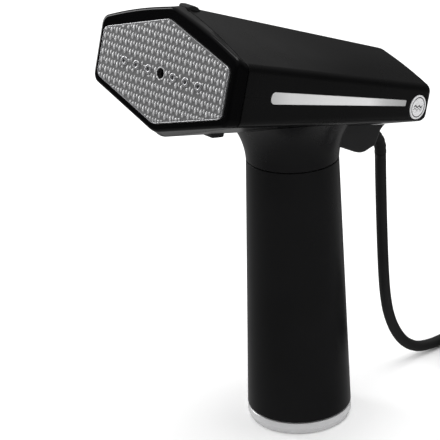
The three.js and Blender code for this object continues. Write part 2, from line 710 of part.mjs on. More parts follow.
function tankSocket() {
  const flange = TANK_TOP_RADIUS - WALL - 0.4;
  const spigot = TANK_TOP_RADIUS - TANK_WALL - 0.5;
  const plate = turned([
    [0, 152], [spigot - 2, 152], [spigot - 2, 149], [spigot, 149], [spigot, 153.4], [spigot - 1.6, 153.4],
    [spigot - 1.6, 156], [spigot, 156], [spigot, 160], [flange, 160], [flange, 163], [0, 163],
  ]);
  const columns = SOCKET_COLUMNS_X.map((x) => rod(at(x, 0, 162), at(x, 0, 190), 3.4, 3.4, 16));
  const spout = rod(at(PICKUP.x, PICKUP.y, 162), at(PICKUP.x, PICKUP.y, 171), 2.2, 2.2, 14);
  const bores = SOCKET_COLUMNS_X.map((x) => rod(at(x, 0, 166), at(x, 0, 195), 1.7, 1.7, 12));
  const trimmed = cut(joined(plate, ...columns), inWorld(bodyClearance), ...bores);
  const way = rod(at(PICKUP.x, PICKUP.y, 140), at(PICKUP.x, PICKUP.y, 180), 1.2, 1.2, 10);
  return cut(joined(trimmed, spout), way);
}

function sealRing() {
  const spigot = TANK_TOP_RADIUS - TANK_WALL - 0.5;
  const profile = [];
  for (let k = 0; k < 6; k += 1) {
    const angle = (2 * Math.PI * k) / 6;
    profile.push([spigot - 0.55 + 0.75 * Math.cos(angle), 154.7 + 0.9 * Math.sin(angle)]);
  }
  return turnedRing(profile, 32);
}

function pickupTube() {
  const tube = rod(at(PICKUP.x, PICKUP.y, 20), at(PICKUP.x, PICKUP.y, 151.7), 2.6, 2.6, 14);
  return cut(tube, rod(at(PICKUP.x, PICKUP.y, 10), at(PICKUP.x, PICKUP.y, 160), 1.4, 1.4, 10));
}

function waterFilter() {
  return rod(at(PICKUP.x, PICKUP.y, 11.5), at(PICKUP.x, PICKUP.y, 19.7), 4.4, 4, 18);
}

function neck() {
  place(steamer, "neck_shell", neckShell(), SATIN_BLACK);
  place(steamer, "cord_housing", cordHousing(), SATIN_BLACK);
  place(steamer, "tank_socket", tankSocket(), MATTE_BLACK);
  place(steamer, "tank_seal_ring", sealRing(), SILICONE);
  place(steamer, "pickup_tube", pickupTube(), NATURAL_PLASTIC);
  place(steamer, "water_filter", waterFilter(), BRASS);
  SOCKET_COLUMNS_X.forEach((x, i) => {
    const seat = at(x, 0, NECK_SCREW_SEAT_Z);
    place(steamer, `neck_screw_${i + 1}`, screw(seat, at(0, 0, -1), 15), BRIGHT_STEEL);
  });
}

// ---------- tank handle ----------
const tankRadius = (z) =>
  THREE.MathUtils.mapLinear(z, TANK_BOTTOM_Z, TANK_TOP_Z, BASE_RADIUS, TANK_TOP_RADIUS);

function waterTank() {
  const floor = TANK_BOTTOM_Z + 2.2;
  return turned([
    [0, TANK_BOTTOM_Z], [tankRadius(TANK_BOTTOM_Z) - 0.6, TANK_BOTTOM_Z],
    [tankRadius(TANK_BOTTOM_Z), TANK_BOTTOM_Z + 0.6], [tankRadius(84), 84],
    [tankRadius(TANK_TOP_Z), TANK_TOP_Z], [tankRadius(TANK_TOP_Z) - TANK_WALL, TANK_TOP_Z],
    [tankRadius(84) - TANK_WALL, 84], [tankRadius(floor) - TANK_WALL, floor], [0, floor],
  ]);
}

function baseRing() {
  return turnedRing([
    [23.5, 0.2], [28.6, 0.2], [BASE_RADIUS, 1.6], [BASE_RADIUS + 0.1, 3.6], [BASE_RADIUS, 3.9],
    [BASE_RADIUS, RING_TOP_Z - 0.4], [BASE_RADIUS - 0.5, RING_TOP_Z], [26, RING_TOP_Z], [23.5, 4],
  ]);
}

function tankFoot() {
  return turned([[0, 0], [22.6, 0], [23.2, 0.6], [23.2, 3.4], [0, 3.4]]);
}

function tank() {
  place(steamer, "water_tank", waterTank(), SATIN_BLACK);
  place(steamer, "tank_base_ring", baseRing(), BRIGHT_STEEL);
  place(steamer, "tank_foot", tankFoot(), RUBBER);
}

// ---------- mains cord ----------
const CORD_DROP_Y = 68.6;

// Centreline from the end of the strain relief to the coil: down, round and along the floor.
const CORD_ROUTE = [
  at(0, 68.6, RELIEF.endZ - GAP), at(0, 68.6, 134), at(0, 68.7, 122), at(0, 68.9, 108), at(0, 69.2, 94),
  at(0, 69.6, 80), at(0, 70.2, 66), at(0, 71.3, 52), at(0, 73.9, 38), at(0, 79.2, 25),
  at(0, 87.2, 14), at(0, 97.6, 6.9), at(0, 109.5, 4.1), at(0, 122.3, 3.8),
];

// The moulded strain relief: straight out of the chin, then a quarter bend to point down. A
// square flange holds it behind the chin's rear wall.
function strainRelief() {
  const { startY, bendY, bendRadius, z, radius, endZ } = RELIEF;
  const bend = Array.from({ length: 6 }, (_, k) => {
    const angle = (k * Math.PI) / 10;
    return at(0, bendY + bendRadius * Math.sin(angle), z - bendRadius * (1 - Math.cos(angle)));
  });
  const path = [at(0, startY, z), ...bend, at(0, CORD_DROP_Y, endZ)];
  const flange = box(-6, 6, startY - 3, startY + 0.5, CHIN_HOLLOW.floor + GAP, z + 5);
  return joined(along(path, radius, 12, 12), flange);
}

function coilRing() {
  const half = (COIL.turnsAcross * CORD_RADIUS * 2) / 2;
  const top = COIL.bottom + COIL.layers * CORD_RADIUS * 2;
  const [inner, outer] = [COIL.mid - half, COIL.mid + half];
  const c = 2;
  const ring = turnedRing([
    [inner + c, COIL.bottom], [outer - c, COIL.bottom], [outer, COIL.bottom + c], [outer, top - c],
    [outer - c, top], [inner + c, top], [inner, top - c], [inner, COIL.bottom + c],
  ], 36);
  return solid(geometryOf(ring).translate(COIL.x, COIL.y, 0));
}

// A strap round the coil's bundle on its far side.
function cordTie() {
  const half = COIL.turnsAcross * CORD_RADIUS;
  const top = COIL.bottom + COIL.layers * CORD_RADIUS * 2;
  const y = COIL.y + COIL.mid;
  const inner = [y - half - 1, y + half + 1];
  const outer = box(COIL.x - 6, COIL.x + 6, inner[0] - 1.3, inner[1] + 1.3, 0.1, top + 1.6);
  return cut(outer, box(COIL.x - 9, COIL.x + 9, inner[0], inner[1], COIL.bottom - 0.4, top + 0.4));
}

// The short end of the cord from the coil's outer top turn down to the plug.
function cordTail() {
  const end = PLUG.y + PLUG_BACK + GAP;
  const points = [
    at(87.2, 122, 14), at(86, 114, 11), at(PLUG.x, end + 4, PLUG.z), at(PLUG.x, end, PLUG.z),
  ];
  return along(points, CORD_RADIUS, 10, 4);
}

// Distance from the plug's middle to its cord end, and to its blade end.
const PLUG_BACK = 15.8;
const PLUG_FACE = 14.8;

function plugBody() {
  const { x, y, z } = PLUG;
  const grip = new THREE.Shape();
  const bevel = 0.8;
  const [face, back] = [bevel - PLUG_FACE, PLUG_BACK - bevel];
  grip.moveTo(-12, face);
  grip.lineTo(12, face);
  grip.lineTo(12.5, -4);
  grip.lineTo(8, 4);
  grip.lineTo(6, back);
  grip.lineTo(-6, back);
  grip.lineTo(-8, 4);
  grip.lineTo(-12.5, -4);
  const depth = 13;
  const geometry = new THREE.ExtrudeGeometry(grip, {
    depth, bevelEnabled: true, bevelSize: bevel, bevelThickness: 1.5, bevelSegments: 1,
  });
  return solid(geometry.translate(x, y, z - depth / 2));
}

function plugBlade(offset) {
  const { x, y, z } = PLUG;
  const tip = y - PLUG_FACE - GAP - 17;
  return box(x + offset - 0.8, x + offset + 0.8, tip, tip + 17, z - 3.2, z + 3.2);
}

function mainsCord() {
  place(steamer, "strain_relief", strainRelief(), RUBBER);
  place(steamer, "power_cord", along(CORD_ROUTE, CORD_RADIUS, 10, 14), RUBBER);
  place(steamer, "cord_coil", coilRing(), RUBBER);
  place(steamer, "cord_tie", cordTie(), MATTE_BLACK);
  place(steamer, "cord_tail", cordTail(), RUBBER);
  place(steamer, "plug_body", plugBody(), RUBBER);
  place(steamer, "plug_blade_left", plugBlade(-6.35), BRIGHT_STEEL);
  place(steamer, "plug_blade_right", plugBlade(6.35), BRIGHT_STEEL);
}

casing();
sideTrim();
heatModule();
electronics();
rearControls();
neck();
tank();
mainsCord();

export default steamer;
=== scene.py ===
"""Handheld garment steamer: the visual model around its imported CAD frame."""
from math import atan, cos, hypot, pi, radians, sin, tan

import bmesh
import bpy
from mathutils import Matrix, Vector


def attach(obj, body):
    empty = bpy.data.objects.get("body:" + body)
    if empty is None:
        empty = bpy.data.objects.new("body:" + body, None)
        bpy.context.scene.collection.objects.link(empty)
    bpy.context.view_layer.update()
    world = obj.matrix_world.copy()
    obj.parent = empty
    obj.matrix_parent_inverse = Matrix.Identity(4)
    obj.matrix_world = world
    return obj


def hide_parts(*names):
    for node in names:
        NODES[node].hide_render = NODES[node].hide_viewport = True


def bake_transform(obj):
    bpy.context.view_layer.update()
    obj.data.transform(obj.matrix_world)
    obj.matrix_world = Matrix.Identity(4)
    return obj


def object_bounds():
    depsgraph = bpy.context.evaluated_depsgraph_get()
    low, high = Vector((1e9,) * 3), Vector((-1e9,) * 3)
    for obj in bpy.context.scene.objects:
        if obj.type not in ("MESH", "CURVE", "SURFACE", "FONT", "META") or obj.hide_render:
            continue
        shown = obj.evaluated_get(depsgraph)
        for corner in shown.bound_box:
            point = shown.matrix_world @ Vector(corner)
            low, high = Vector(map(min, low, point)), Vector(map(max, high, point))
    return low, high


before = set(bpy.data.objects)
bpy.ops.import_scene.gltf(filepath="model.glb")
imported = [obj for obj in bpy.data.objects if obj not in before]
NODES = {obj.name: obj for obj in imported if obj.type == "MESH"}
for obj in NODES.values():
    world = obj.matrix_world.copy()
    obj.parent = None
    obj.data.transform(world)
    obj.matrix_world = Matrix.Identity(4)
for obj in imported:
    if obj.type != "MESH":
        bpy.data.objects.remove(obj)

CAD_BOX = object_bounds()
MM = 0.001

# ---- dimensions, in millimetres
HEAD_TILT = radians(15.9)
HEAD_ORIGIN = Vector((0, -88.6, 233.5))
HEAD = Matrix.Translation(HEAD_ORIGIN) @ Matrix.Rotation(-HEAD_TILT, 4, "X")
WORLD = Matrix.Identity(4)

BODY_FRONT = dict(at=6.6, width=56.8, height=35.2, side=15.6, drop=0.9, swell=1.5)
BODY_REAR = dict(at=162.0, width=42.1, height=22.5, side=9.6, drop=5.9, swell=1.0)
SECTION_KEYS = ("width", "height", "side", "drop", "swell")
SWELL_RADIUS = 280.0
BODY_ROUNDING = (5.0, 12.0)
WALL = 2.4
PLATE = dict(width=50.6, height=27.9, side=13.1, drop=0.9)
PLATE_ROUNDING = (4.0, 9.0)
PLATE_FACE = -1.2
NOZZLE_Z = -1.9
NOZZLE_XS = [-30, -20, -10, 10, 20, 30]

TANK_BOTTOM, TANK_TOP = 7.6, 159.6
TANK_RADII = (30.0, 26.0)
NECK_BOTTOM = 160.1
CORD_RADIUS = 3.3
COIL = dict(x=43.6, y=147.0, mid=37.0, bottom=1.2)
PLUG = Vector((84.0, 88.0, 9.6))


def show(obj):
    bpy.context.scene.collection.objects.link(obj)


# ---- camera
CAMERA = dict(azimuth=49.96, elevation=23.25, roll=-2.48, lens=174.6, sensor=36.0, shift=-0.0021,
              distance=1.20009, aim=(-26.52, -31.57, 123.12))


def make_camera():
    azimuth, elevation, roll = (radians(CAMERA[k]) for k in ("azimuth", "elevation", "roll"))
    back = Vector((sin(azimuth) * cos(elevation), -cos(azimuth) * cos(elevation), sin(elevation)))
    right = Vector((cos(azimuth), sin(azimuth), 0))
    up = back.cross(right)
    turned_right = cos(roll) * right + sin(roll) * up
    turned_up = -sin(roll) * right + cos(roll) * up
    place = Matrix((turned_right, turned_up, back)).transposed().to_4x4()
    place.translation = Vector(CAMERA["aim"]) * MM + back * CAMERA["distance"]
    data = bpy.data.cameras.new("camera")
    data.sensor_width, data.lens, data.shift_x = CAMERA["sensor"], CAMERA["lens"], CAMERA["shift"]
    data.clip_start, data.clip_end = 0.05, 50
    camera = bpy.data.objects.new("camera", data)
    show(camera)
    camera.matrix_world = place
    bpy.context.scene.camera = camera


# ---- mesh tools
def new_object(name, points, faces, place=WORLD, smooth=True):
    """A mesh object from points in millimetres in the given frame."""
    mesh = bpy.data.meshes.new(name)
    mesh.from_pydata([tuple(MM * (place @ Vector(p))) for p in points], [], faces)
    bm = bmesh.new()
    bm.from_mesh(mesh)
    bmesh.ops.remove_doubles(bm, verts=bm.verts, dist=1e-7)
    bmesh.ops.recalc_face_normals(bm, faces=bm.faces)
    for face in bm.faces:
        face.smooth = smooth
    bm.to_mesh(mesh)
    bm.free()
    obj = bpy.data.objects.new(name, mesh)
    show(obj)
    return obj


def settle(obj):
    """Applies the modifiers to the mesh."""
    evaluated = obj.evaluated_get(bpy.context.evaluated_depsgraph_get())
    mesh = bpy.data.meshes.new_from_object(evaluated)
    obj.modifiers.clear()
    obj.data = mesh
    return obj


def combine(obj, other, operation):
    cutter = obj.modifiers.new("boolean", "BOOLEAN")
    cutter.operation = operation
    cutter.solver = "EXACT"
    cutter.object = other
    settle(obj)
    bpy.data.objects.remove(other)
    return obj


def cut(obj, *cutters):
    for cutter in cutters:
        combine(obj, cutter, "DIFFERENCE")
    return obj


def merge(obj, *others):
    """Puts other meshes into this one, without a boolean."""
    bm = bmesh.new()
    bm.from_mesh(obj.data)
    for other in others:
        bm.from_mesh(other.data)
        bpy.data.objects.remove(other)
    bm.to_mesh(obj.data)
    bm.free()
    return obj


def soften(obj, width=0.0, segments=2, angle=32):
    """Rounds the edges by a bevel in millimetres and evens out the shading."""
    if width:
        bevel = obj.modifiers.new("bevel", "BEVEL")
        bevel.width = width * MM
        bevel.segments = segments
        bevel.limit_method = "ANGLE"
        bevel.angle_limit = radians(angle)
        bevel.use_clamp_overlap = True
        settle(obj)
    for polygon in obj.data.polygons:
        polygon.use_smooth = True
    obj.data.set_sharp_from_angle(angle=radians(50))
    even = obj.modifiers.new("even_shading", "WEIGHTED_NORMAL")
    even.keep_sharp = True
    even.weight = 80
    return obj


def skin(name, rings, place=WORLD, loop=True, around=False, caps=True):
    """A surface over rings of equal point counts. loop closes each ring; around joins last to first."""
    count = len(rings[0])
    faces = []
    pairs = [(i, i + 1) for i in range(len(rings) - 1)]
    if around:
        pairs.append((len(rings) - 1, 0))
    for a, b in pairs:
        for k in range(count if loop else count - 1):
            n = (k + 1) % count
            faces.append((a * count + k, a * count + n, b * count + n, b * count + k))
    if caps and not around:
        faces.append(tuple(range(count)))
        faces.append(tuple((len(rings) - 1) * count + k for k in range(count)))
    return new_object(name, [p for ring in rings for p in ring], faces, place)


def lathe(name, profile, segments=96, place=WORLD, closed=False):
    """Turns [radius, height] pairs about Z. closed joins the last pair to the first."""
    rings = []
    for radius, height in profile:
        rings.append([(max(radius, 1e-4) * cos(2 * pi * k / segments),
                       max(radius, 1e-4) * sin(2 * pi * k / segments), height)
                      for k in range(segments)])
    return skin(name, rings, place, around=closed)


def rod(radius, start, end, segments, place):
    """A plain round bar along the frame's Z, for cutting holes."""
    return lathe("cutter", [(0, start), (radius, start), (radius, end), (0, end)], segments, place)


def along_y(x, y, z):
    """Places a lathe so that its axis runs along the head's +Y from this point."""
    return HEAD @ Matrix.Translation((x, y, z)) @ Matrix.Rotation(-pi / 2, 4, "X")


def prism(name, outline, x0, x1, place=WORLD):
    """An outline in y, z with a thickness across x."""
    return skin(name, [[(x, y, z) for y, z in outline] for x in (x0, x1)], place)


def block(name, x0, x1, y0, y1, z0, z1, place=WORLD):
    return prism(name, [(y0, z0), (y1, z0), (y1, z1), (y0, z1)], x0, x1, place)


def arc(cx, cy, radius, start, end, steps):
    """Points on an arc, angles in degrees."""
    angles = [radians(start + (end - start) * k / steps) for k in range(steps + 1)]
    return [(cx + radius * cos(a), cy + radius * sin(a)) for a in angles]


def rounded(corners, radii, steps):
    """A closed outline with each corner turned into an arc."""
    points = []
    for i, corner in enumerate(corners):
        corner = Vector(corner)
        before = (Vector(corners[i - 1]) - corner).normalized()
        after = (Vector(corners[(i + 1) % len(corners)]) - corner).normalized()
        half = before.angle(after) / 2
        centre = corner + (before + after).normalized() * radii[i] / sin(half)
        first = corner + before * radii[i] / tan(half) - centre
        turn = (pi - 2 * half) * (-1 if before.x * after.y - before.y * after.x > 0 else 1)
        for k in range(steps + 1):
            a = turn * k / steps
            points.append((centre.x + first.x * cos(a) - first.y * sin(a),
                           centre.y + first.x * sin(a) + first.y * cos(a)))
    return points


def hexagon(width, height, side, drop=0.0, swell=0.02, rounding=BODY_ROUNDING, inset=0.0, steps=8, **_):
    """The head's section as x, z pairs: apexes above and below, upright sides."""
    slope = atan((height - side) / width)
    w = width - inset
    h = height - inset / cos(slope)
    s = h - w * tan(slope)
    r, apex = rounding
    x, z = w / 2 + swell * sin(slope), (h + s) / 2 + swell * cos(slope)
    corners = [(0, h), (-x, z), (-w, s), (-w, -s), (0, -h), (w, -s), (w, s), (x, z)]
    radii = [max(v - inset, 0.6) for v in (apex, SWELL_RADIUS, r, r, apex, r, r, SWELL_RADIUS)]
    return [(x, z - drop) for x, z in rounded(corners, radii, steps)]


def between(a, b, share):
    return {k: a[k] + (b[k] - a[k]) * share for k in SECTION_KEYS}


def body_section(y):
    return between(BODY_FRONT, BODY_REAR, (y - BODY_FRONT["at"]) / (BODY_REAR["at"] - BODY_FRONT["at"]))


def at_y(outline, y):
    return [(x, y, z) for x, z in outline]


# ---- materials
MATERIALS = {}


def shader(name):
    material = bpy.data.materials.new(name)
    material.use_nodes = True
    tree = material.node_tree
    MATERIALS[name] = material
    return tree, tree.nodes["Principled BSDF"]


def node(tree, kind, **values):
    made = tree.nodes.new("ShaderNode" + kind)
    for key, value in values.items():
        if hasattr(made, key) and key not in made.inputs:
            setattr(made, key, value)
        else:
            made.inputs[key].default_value = value
    return made


def wire(tree, source, target):
    tree.links.new(source, target)


def stretched(tree, scale):
    mapping = node(tree, "Mapping")
    mapping.inputs["Scale"].default_value = scale
    wire(tree, node(tree, "TexCoord").outputs["Object"], mapping.inputs["Vector"])
    return mapping.outputs["Vector"]


def noise(tree, scale, detail=3.0, roughness=0.5, stretch=(1, 1, 1)):
    made = node(tree, "TexNoise")
    made.inputs["Scale"].default_value = scale
    made.inputs["Detail"].default_value = detail
    made.inputs["Roughness"].default_value = roughness
    wire(tree, stretched(tree, stretch), made.inputs["Vector"])
    return made.outputs["Fac"]


def remap(tree, value, low, high, out_low, out_high):
    made = node(tree, "MapRange")
    for key, number in (("From Min", low), ("From Max", high), ("To Min", out_low), ("To Max", out_high)):
        made.inputs[key].default_value = number
    wire(tree, value, made.inputs["Value"])
    return made.outputs["Result"]


def mixed(tree, factor, first, second):
    made = node(tree, "Mix", data_type="RGBA")
    for key, value in (("A", first), ("B", second)):
        socket = [s for s in made.inputs if s.name == key and s.type == "RGBA"][0]
        if isinstance(value, tuple):
            socket.default_value = (*value, 1)
        else:
            wire(tree, value, socket)
    wire(tree, factor, made.inputs["Factor"])
    return [s for s in made.outputs if s.type == "RGBA"][0]


def bumped(tree, bsdf, layers):
    """Stacks bump layers of (height socket, strength, depth in millimetres)."""
    below = None
    for height, strength, depth in layers:
        bump = node(tree, "Bump")
        bump.inputs["Strength"].default_value = strength
        bump.inputs["Distance"].default_value = depth * MM
        wire(tree, height, bump.inputs["Height"])
        if below:
            wire(tree, below, bump.inputs["Normal"])
        below = bump.outputs["Normal"]
    wire(tree, below, bsdf.inputs["Normal"])


def worn_edges(tree, colour, worn, amount):
    """Lightens convex edges a little, broken up by noise."""
    geometry = node(tree, "NewGeometry")
    edge = remap(tree, geometry.outputs["Pointiness"], 0.53, 0.62, 0.0, amount)
    patches = remap(tree, noise(tree, 220, 4), 0.35, 0.65, 0.2, 1.0)
    product = node(tree, "Math", operation="MULTIPLY")
    wire(tree, edge, product.inputs[0])
    wire(tree, patches, product.inputs[1])
    return mixed(tree, product.outputs[0], colour, worn)


def plastic(name, dark, light, rough, ior, grain=0.06, wear=0.12):
    tree, bsdf = shader(name)
    tone = mixed(tree, remap(tree, noise(tree, 18, 2), 0.3, 0.7, 0, 1), dark, light)
    tone = worn_edges(tree, tone, tuple(min(1, c * 3 + 0.01) for c in light), wear)
    wire(tree, tone, bsdf.inputs["Base Color"])
    handled = remap(tree, noise(tree, 34, 4, 0.6), 0.3, 0.7, rough[0], rough[1])
    wire(tree, handled, bsdf.inputs["Roughness"])
    bsdf.inputs["IOR"].default_value = ior
    bumped(tree, bsdf, [(noise(tree, 1400, 2), grain, 0.006), (noise(tree, 40, 1), 0.012, 0.02)])


def metal(name, colour, rough, metallic=1.0, streak=(1, 1, 1), scale=300, grain=0.1, depth=0.01):
    tree, bsdf = shader(name)
    shade = tuple(c * 0.86 for c in colour)
    tone = mixed(tree, noise(tree, scale, 4, 0.6, streak), shade, colour)
    wire(tree, tone, bsdf.inputs["Base Color"])
    bsdf.inputs["Metallic"].default_value = metallic
    varied = remap(tree, noise(tree, scale * 0.7, 3, 0.6, streak), 0.3, 0.7, rough[0], rough[1])
    wire(tree, varied, bsdf.inputs["Roughness"])
    bumped(tree, bsdf, [(noise(tree, scale * 1.6, 3, 0.5, streak), grain, depth)])


def strip_metal():
    """Satin metal, brushed along the strip, with a painted reflection along its length: lighter through the
    middle, darker towards the front end and darkest towards its rear end.
    """
    tree, bsdf = shader("strip metal with painted reflection")
    split = node(tree, "SeparateXYZ")
    wire(tree, node(tree, "TexCoord").outputs["Object"], split.inputs[0])
    along = remap(tree, split.outputs["Y"], -0.063, 0.047, 0, 1)
    # painted reflection: this ramp brightens the colour through the middle of the strip and darkens it
    # towards both ends
    ramp = node(tree, "ValToRGB")
    fill_ramp(ramp, [(0.0, 0.6), (0.12, 0.78), (0.4, 0.88), (0.7, 0.95), (0.82, 0.62), (1.0, 0.42)])
    wire(tree, along, ramp.inputs[0])
    brushed = noise(tree, 4500, 2, 0.5)
    wire(tree, mixed(tree, remap(tree, brushed, 0.3, 0.7, 0, 0.05), ramp.outputs[0], (0.5, 0.5, 0.51)),
                   bsdf.inputs["Base Color"])
    bsdf.inputs["Metallic"].default_value = 0.35
    wire(tree, remap(tree, brushed, 0.3, 0.7, 0.24, 0.28), bsdf.inputs["Roughness"])
    bumped(tree, bsdf, [(brushed, 0.012, 0.004)])


def fill_ramp(ramp, stops):
    while len(ramp.color_ramp.elements) < len(stops):
        ramp.color_ramp.elements.new(0.5)
    for element, (position, grey) in zip(ramp.color_ramp.elements, stops):
        element.position = position
        element.color = (grey, grey, grey, 1)


ENGRAVING = dict(circle=5.5, circle_stroke=0.28, wave_gap=0.9, wave_stroke=0.42, wave_height=0.45,
                 wave_turn=1.9, half_width=3.8, half_height=1.4)


def badge_metal():
    """Satin metal with a dark engraved circle and dark steam waves in it."""
    tree, bsdf = shader("badge metal")

    def math_node(operation, first, second=None):
        made = node(tree, "Math", operation=operation)
        for socket, value in zip(made.inputs, (first, second)):
            if isinstance(value, (int, float)):
                socket.default_value = value
            elif value is not None:
                wire(tree, value, socket)
        return made.outputs[0]

    def along_axis(axis):
        made = node(tree, "VectorMath", operation="DOT_PRODUCT")
        wire(tree, offset.outputs[0], made.inputs[0])
        made.inputs[1].default_value = axis
        return made.outputs["Value"]

    centre, rearward, upward = badge_frame()
    split = node(tree, "SeparateXYZ")
    wire(tree, node(tree, "TexCoord").outputs["Object"], split.inputs[0])
    folded = node(tree, "CombineXYZ")
    wire(tree, math_node("ABSOLUTE", split.outputs["X"]), folded.inputs["X"])
    wire(tree, split.outputs["Y"], folded.inputs["Y"])
    wire(tree, split.outputs["Z"], folded.inputs["Z"])
    offset = node(tree, "VectorMath", operation="SUBTRACT")
    wire(tree, folded.outputs[0], offset.inputs[0])
    offset.inputs[1].default_value = centre * MM
    u = math_node("MULTIPLY", along_axis(rearward), 1000.0)
    v = math_node("MULTIPLY", along_axis(upward), 1000.0)
    distance = math_node("SQRT", math_node("ADD", math_node("MULTIPLY", u, u), math_node("MULTIPLY", v, v)))
    cut_in = ENGRAVING
    from_circle = math_node("ABSOLUTE", math_node("SUBTRACT", distance, cut_in["circle"]))
    circle = math_node("LESS_THAN", from_circle, cut_in["circle_stroke"])
    sine = math_node("SINE", math_node("MULTIPLY", u, cut_in["wave_turn"]))
    above = math_node("SUBTRACT", v, math_node("MULTIPLY", sine, cut_in["wave_height"]))
    near = math_node("PINGPONG", math_node("ADD", above, 50.0), cut_in["wave_gap"])
    lines = math_node("LESS_THAN", near, cut_in["wave_stroke"])
    inside = math_node("MULTIPLY", math_node("LESS_THAN", math_node("ABSOLUTE", u), cut_in["half_width"]),
                       math_node("LESS_THAN", math_node("ABSOLUTE", above), cut_in["half_height"]))
    mark = math_node("MAXIMUM", circle, math_node("MULTIPLY", lines, inside))
    brushed = noise(tree, 220, 3, 0.5, (1, 1, 6))
    tone = mixed(tree, remap(tree, brushed, 0.3, 0.7, 0, 1), (0.74, 0.74, 0.75), (0.84, 0.84, 0.85))
    wire(tree, mixed(tree, mark, tone, (0.03, 0.03, 0.032)), bsdf.inputs["Base Color"])
    bsdf.inputs["Metallic"].default_value = 0.25
    wire(tree, remap(tree, brushed, 0.3, 0.7, 0.24, 0.34), bsdf.inputs["Roughness"])
    bumped(tree, bsdf, [(brushed, 0.03, 0.004), (math_node("SUBTRACT", 1.0, mark), 0.3, 0.06)])


def plate_metal():
    """Cast plate metal with painted shade in the valleys and a painted highlight on top of the studs, whose
    tops are also smoother.
    """
    tree, bsdf = shader("plate metal")
    depth = node(tree, "VectorMath", operation="DOT_PRODUCT")
    wire(tree, node(tree, "TexCoord").outputs["Object"], depth.inputs[0])
    axis = HEAD.to_3x3() @ Vector((0, 1, 0))
    depth.inputs[1].default_value = axis
    face = (HEAD @ Vector((0, PLATE_FACE, 0))).dot(axis) * MM
    height = remap(tree, depth.outputs["Value"], face + 0.1 * MM, face - 0.45 * MM, 0, 1)
    grain = noise(tree, 900, 4, 0.6)
    # painted shade: a dark colour in the valleys between the studs; the light colour on the stud tops is a
    # painted highlight
    painted_valley_shade = mixed(tree, grain, (0.06, 0.06, 0.062), (0.11, 0.11, 0.112))
    wire(tree, mixed(tree, height, painted_valley_shade, (0.72, 0.72, 0.73)), bsdf.inputs["Base Color"])
    bsdf.inputs["Metallic"].default_value = 0.55
    wire(tree, remap(tree, height, 0, 1, 0.42, 0.2), bsdf.inputs["Roughness"])
    bumped(tree, bsdf, [(grain, 0.08, 0.01)])


def badge_frame():
    """The right badge's centre in millimetres and its rearward and upward directions, in world."""
    points = on_side([(0, -BADGE["below"], 0), (1, -BADGE["below"], 0), (0, 1 - BADGE["below"], 0)],
                     BADGE["at"], False)
    centre, rear, up = [HEAD @ Vector(p) for p in points]
    return centre, rear - centre, up - centre


def make_materials():
    plastic("gloss black plastic", (0.0010, 0.0010, 0.0011), (0.0016, 0.0016, 0.0018),
            (0.05, 0.11), 1.33, grain=0.015, wear=0.06)
    plastic("satin black plastic", (0.0015, 0.0015, 0.0016), (0.0022, 0.0022, 0.0024),
            (0.22, 0.29), 1.3, grain=0.05)
    # painted light: the neck, chin and tank are the casing's satin black plastic with lighter colours,
    # lightest on the chin
    plastic("neck black plastic with painted light", (0.0046, 0.0046, 0.0049), (0.0062, 0.0062, 0.0066),
            (0.24, 0.31), 1.32, grain=0.05)
    plastic("chin black plastic with painted light", (0.014, 0.014, 0.0145), (0.018, 0.018, 0.0187),
            (0.3, 0.38), 1.4, grain=0.03)
    plastic("tank black plastic with painted light", (0.005, 0.005, 0.0053), (0.0066, 0.0066, 0.007),
            (0.27, 0.35), 1.3, grain=0.05)
    plastic("matte black plastic", (0.008, 0.008, 0.0085), (0.013, 0.013, 0.014),
            (0.5, 0.62), 1.45, grain=0.2)
    plastic("control plastic", (0.02, 0.02, 0.021), (0.027, 0.027, 0.028), (0.32, 0.42), 1.45, grain=0.1)
    plastic("black rubber", (0.008, 0.008, 0.008), (0.014, 0.014, 0.0145),
            (0.55, 0.72), 1.45, grain=0.3, wear=0.05)
    plastic("natural plastic", (0.62, 0.61, 0.56), (0.74, 0.73, 0.68), (0.4, 0.5), 1.46)
    plastic("silicone", (0.5, 0.48, 0.44), (0.6, 0.58, 0.54), (0.5, 0.6), 1.42)
    plastic("board lacquer", (0.015, 0.09, 0.03), (0.03, 0.14, 0.05), (0.3, 0.4), 1.5)
    strip_metal()
    badge_metal()
    metal("ring chrome", (0.9, 0.9, 0.91), (0.2, 0.28), 0.45, (1, 1, 40), 60, 0.02, 0.003)
    plate_metal()
    metal("bush steel", (0.78, 0.78, 0.8), (0.12, 0.2), 0.85, (1, 1, 1), 500, 0.08)
    metal("cast aluminium", (0.5, 0.5, 0.51), (0.5, 0.65), 1.0, (1, 1, 1), 700, 0.5, 0.05)
    metal("stainless steel", (0.6, 0.6, 0.61), (0.22, 0.34), 1.0, (1, 30, 1), 80, 0.1)
    metal("brass", (0.62, 0.43, 0.17), (0.2, 0.32), 1.0, (1, 1, 20), 120, 0.1)
    metal("nickel plate", (0.68, 0.66, 0.62), (0.16, 0.26), 1.0, (30, 1, 1), 100, 0.08)
    tree, bsdf = shader("amber lens")
    tone = mixed(tree, noise(tree, 200, 2), (0.75, 0.3, 0.04), (0.85, 0.4, 0.07))
    wire(tree, tone, bsdf.inputs["Base Color"])
    bsdf.inputs["Transmission Weight"].default_value = 0.35
    wire(tree, remap(tree, noise(tree, 90, 2), 0, 1, 0.06, 0.14), bsdf.inputs["Roughness"])
    bumped(tree, bsdf, [(noise(tree, 500, 2), 0.05, 0.01)])


def dress(obj, material):
    obj.data.materials.clear()
    obj.data.materials.append(MATERIALS[material])
    return obj


def piece(obj, body, material, slot, *replaced):
    dress(obj, material)
    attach(obj, body)
    if replaced:
        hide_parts(*replaced)
    return obj


# ---- head casing
SEAM = 0.02
SEAM_BAND = 1.2
SPLIT_SLOPE = atan((BODY_REAR["drop"] - BODY_FRONT["drop"]) / (BODY_REAR["at"] - BODY_FRONT["at"]))
SIDE_TAPER = atan((BODY_FRONT["width"] - BODY_REAR["width"]) / (BODY_REAR["at"] - BODY_FRONT["at"]))


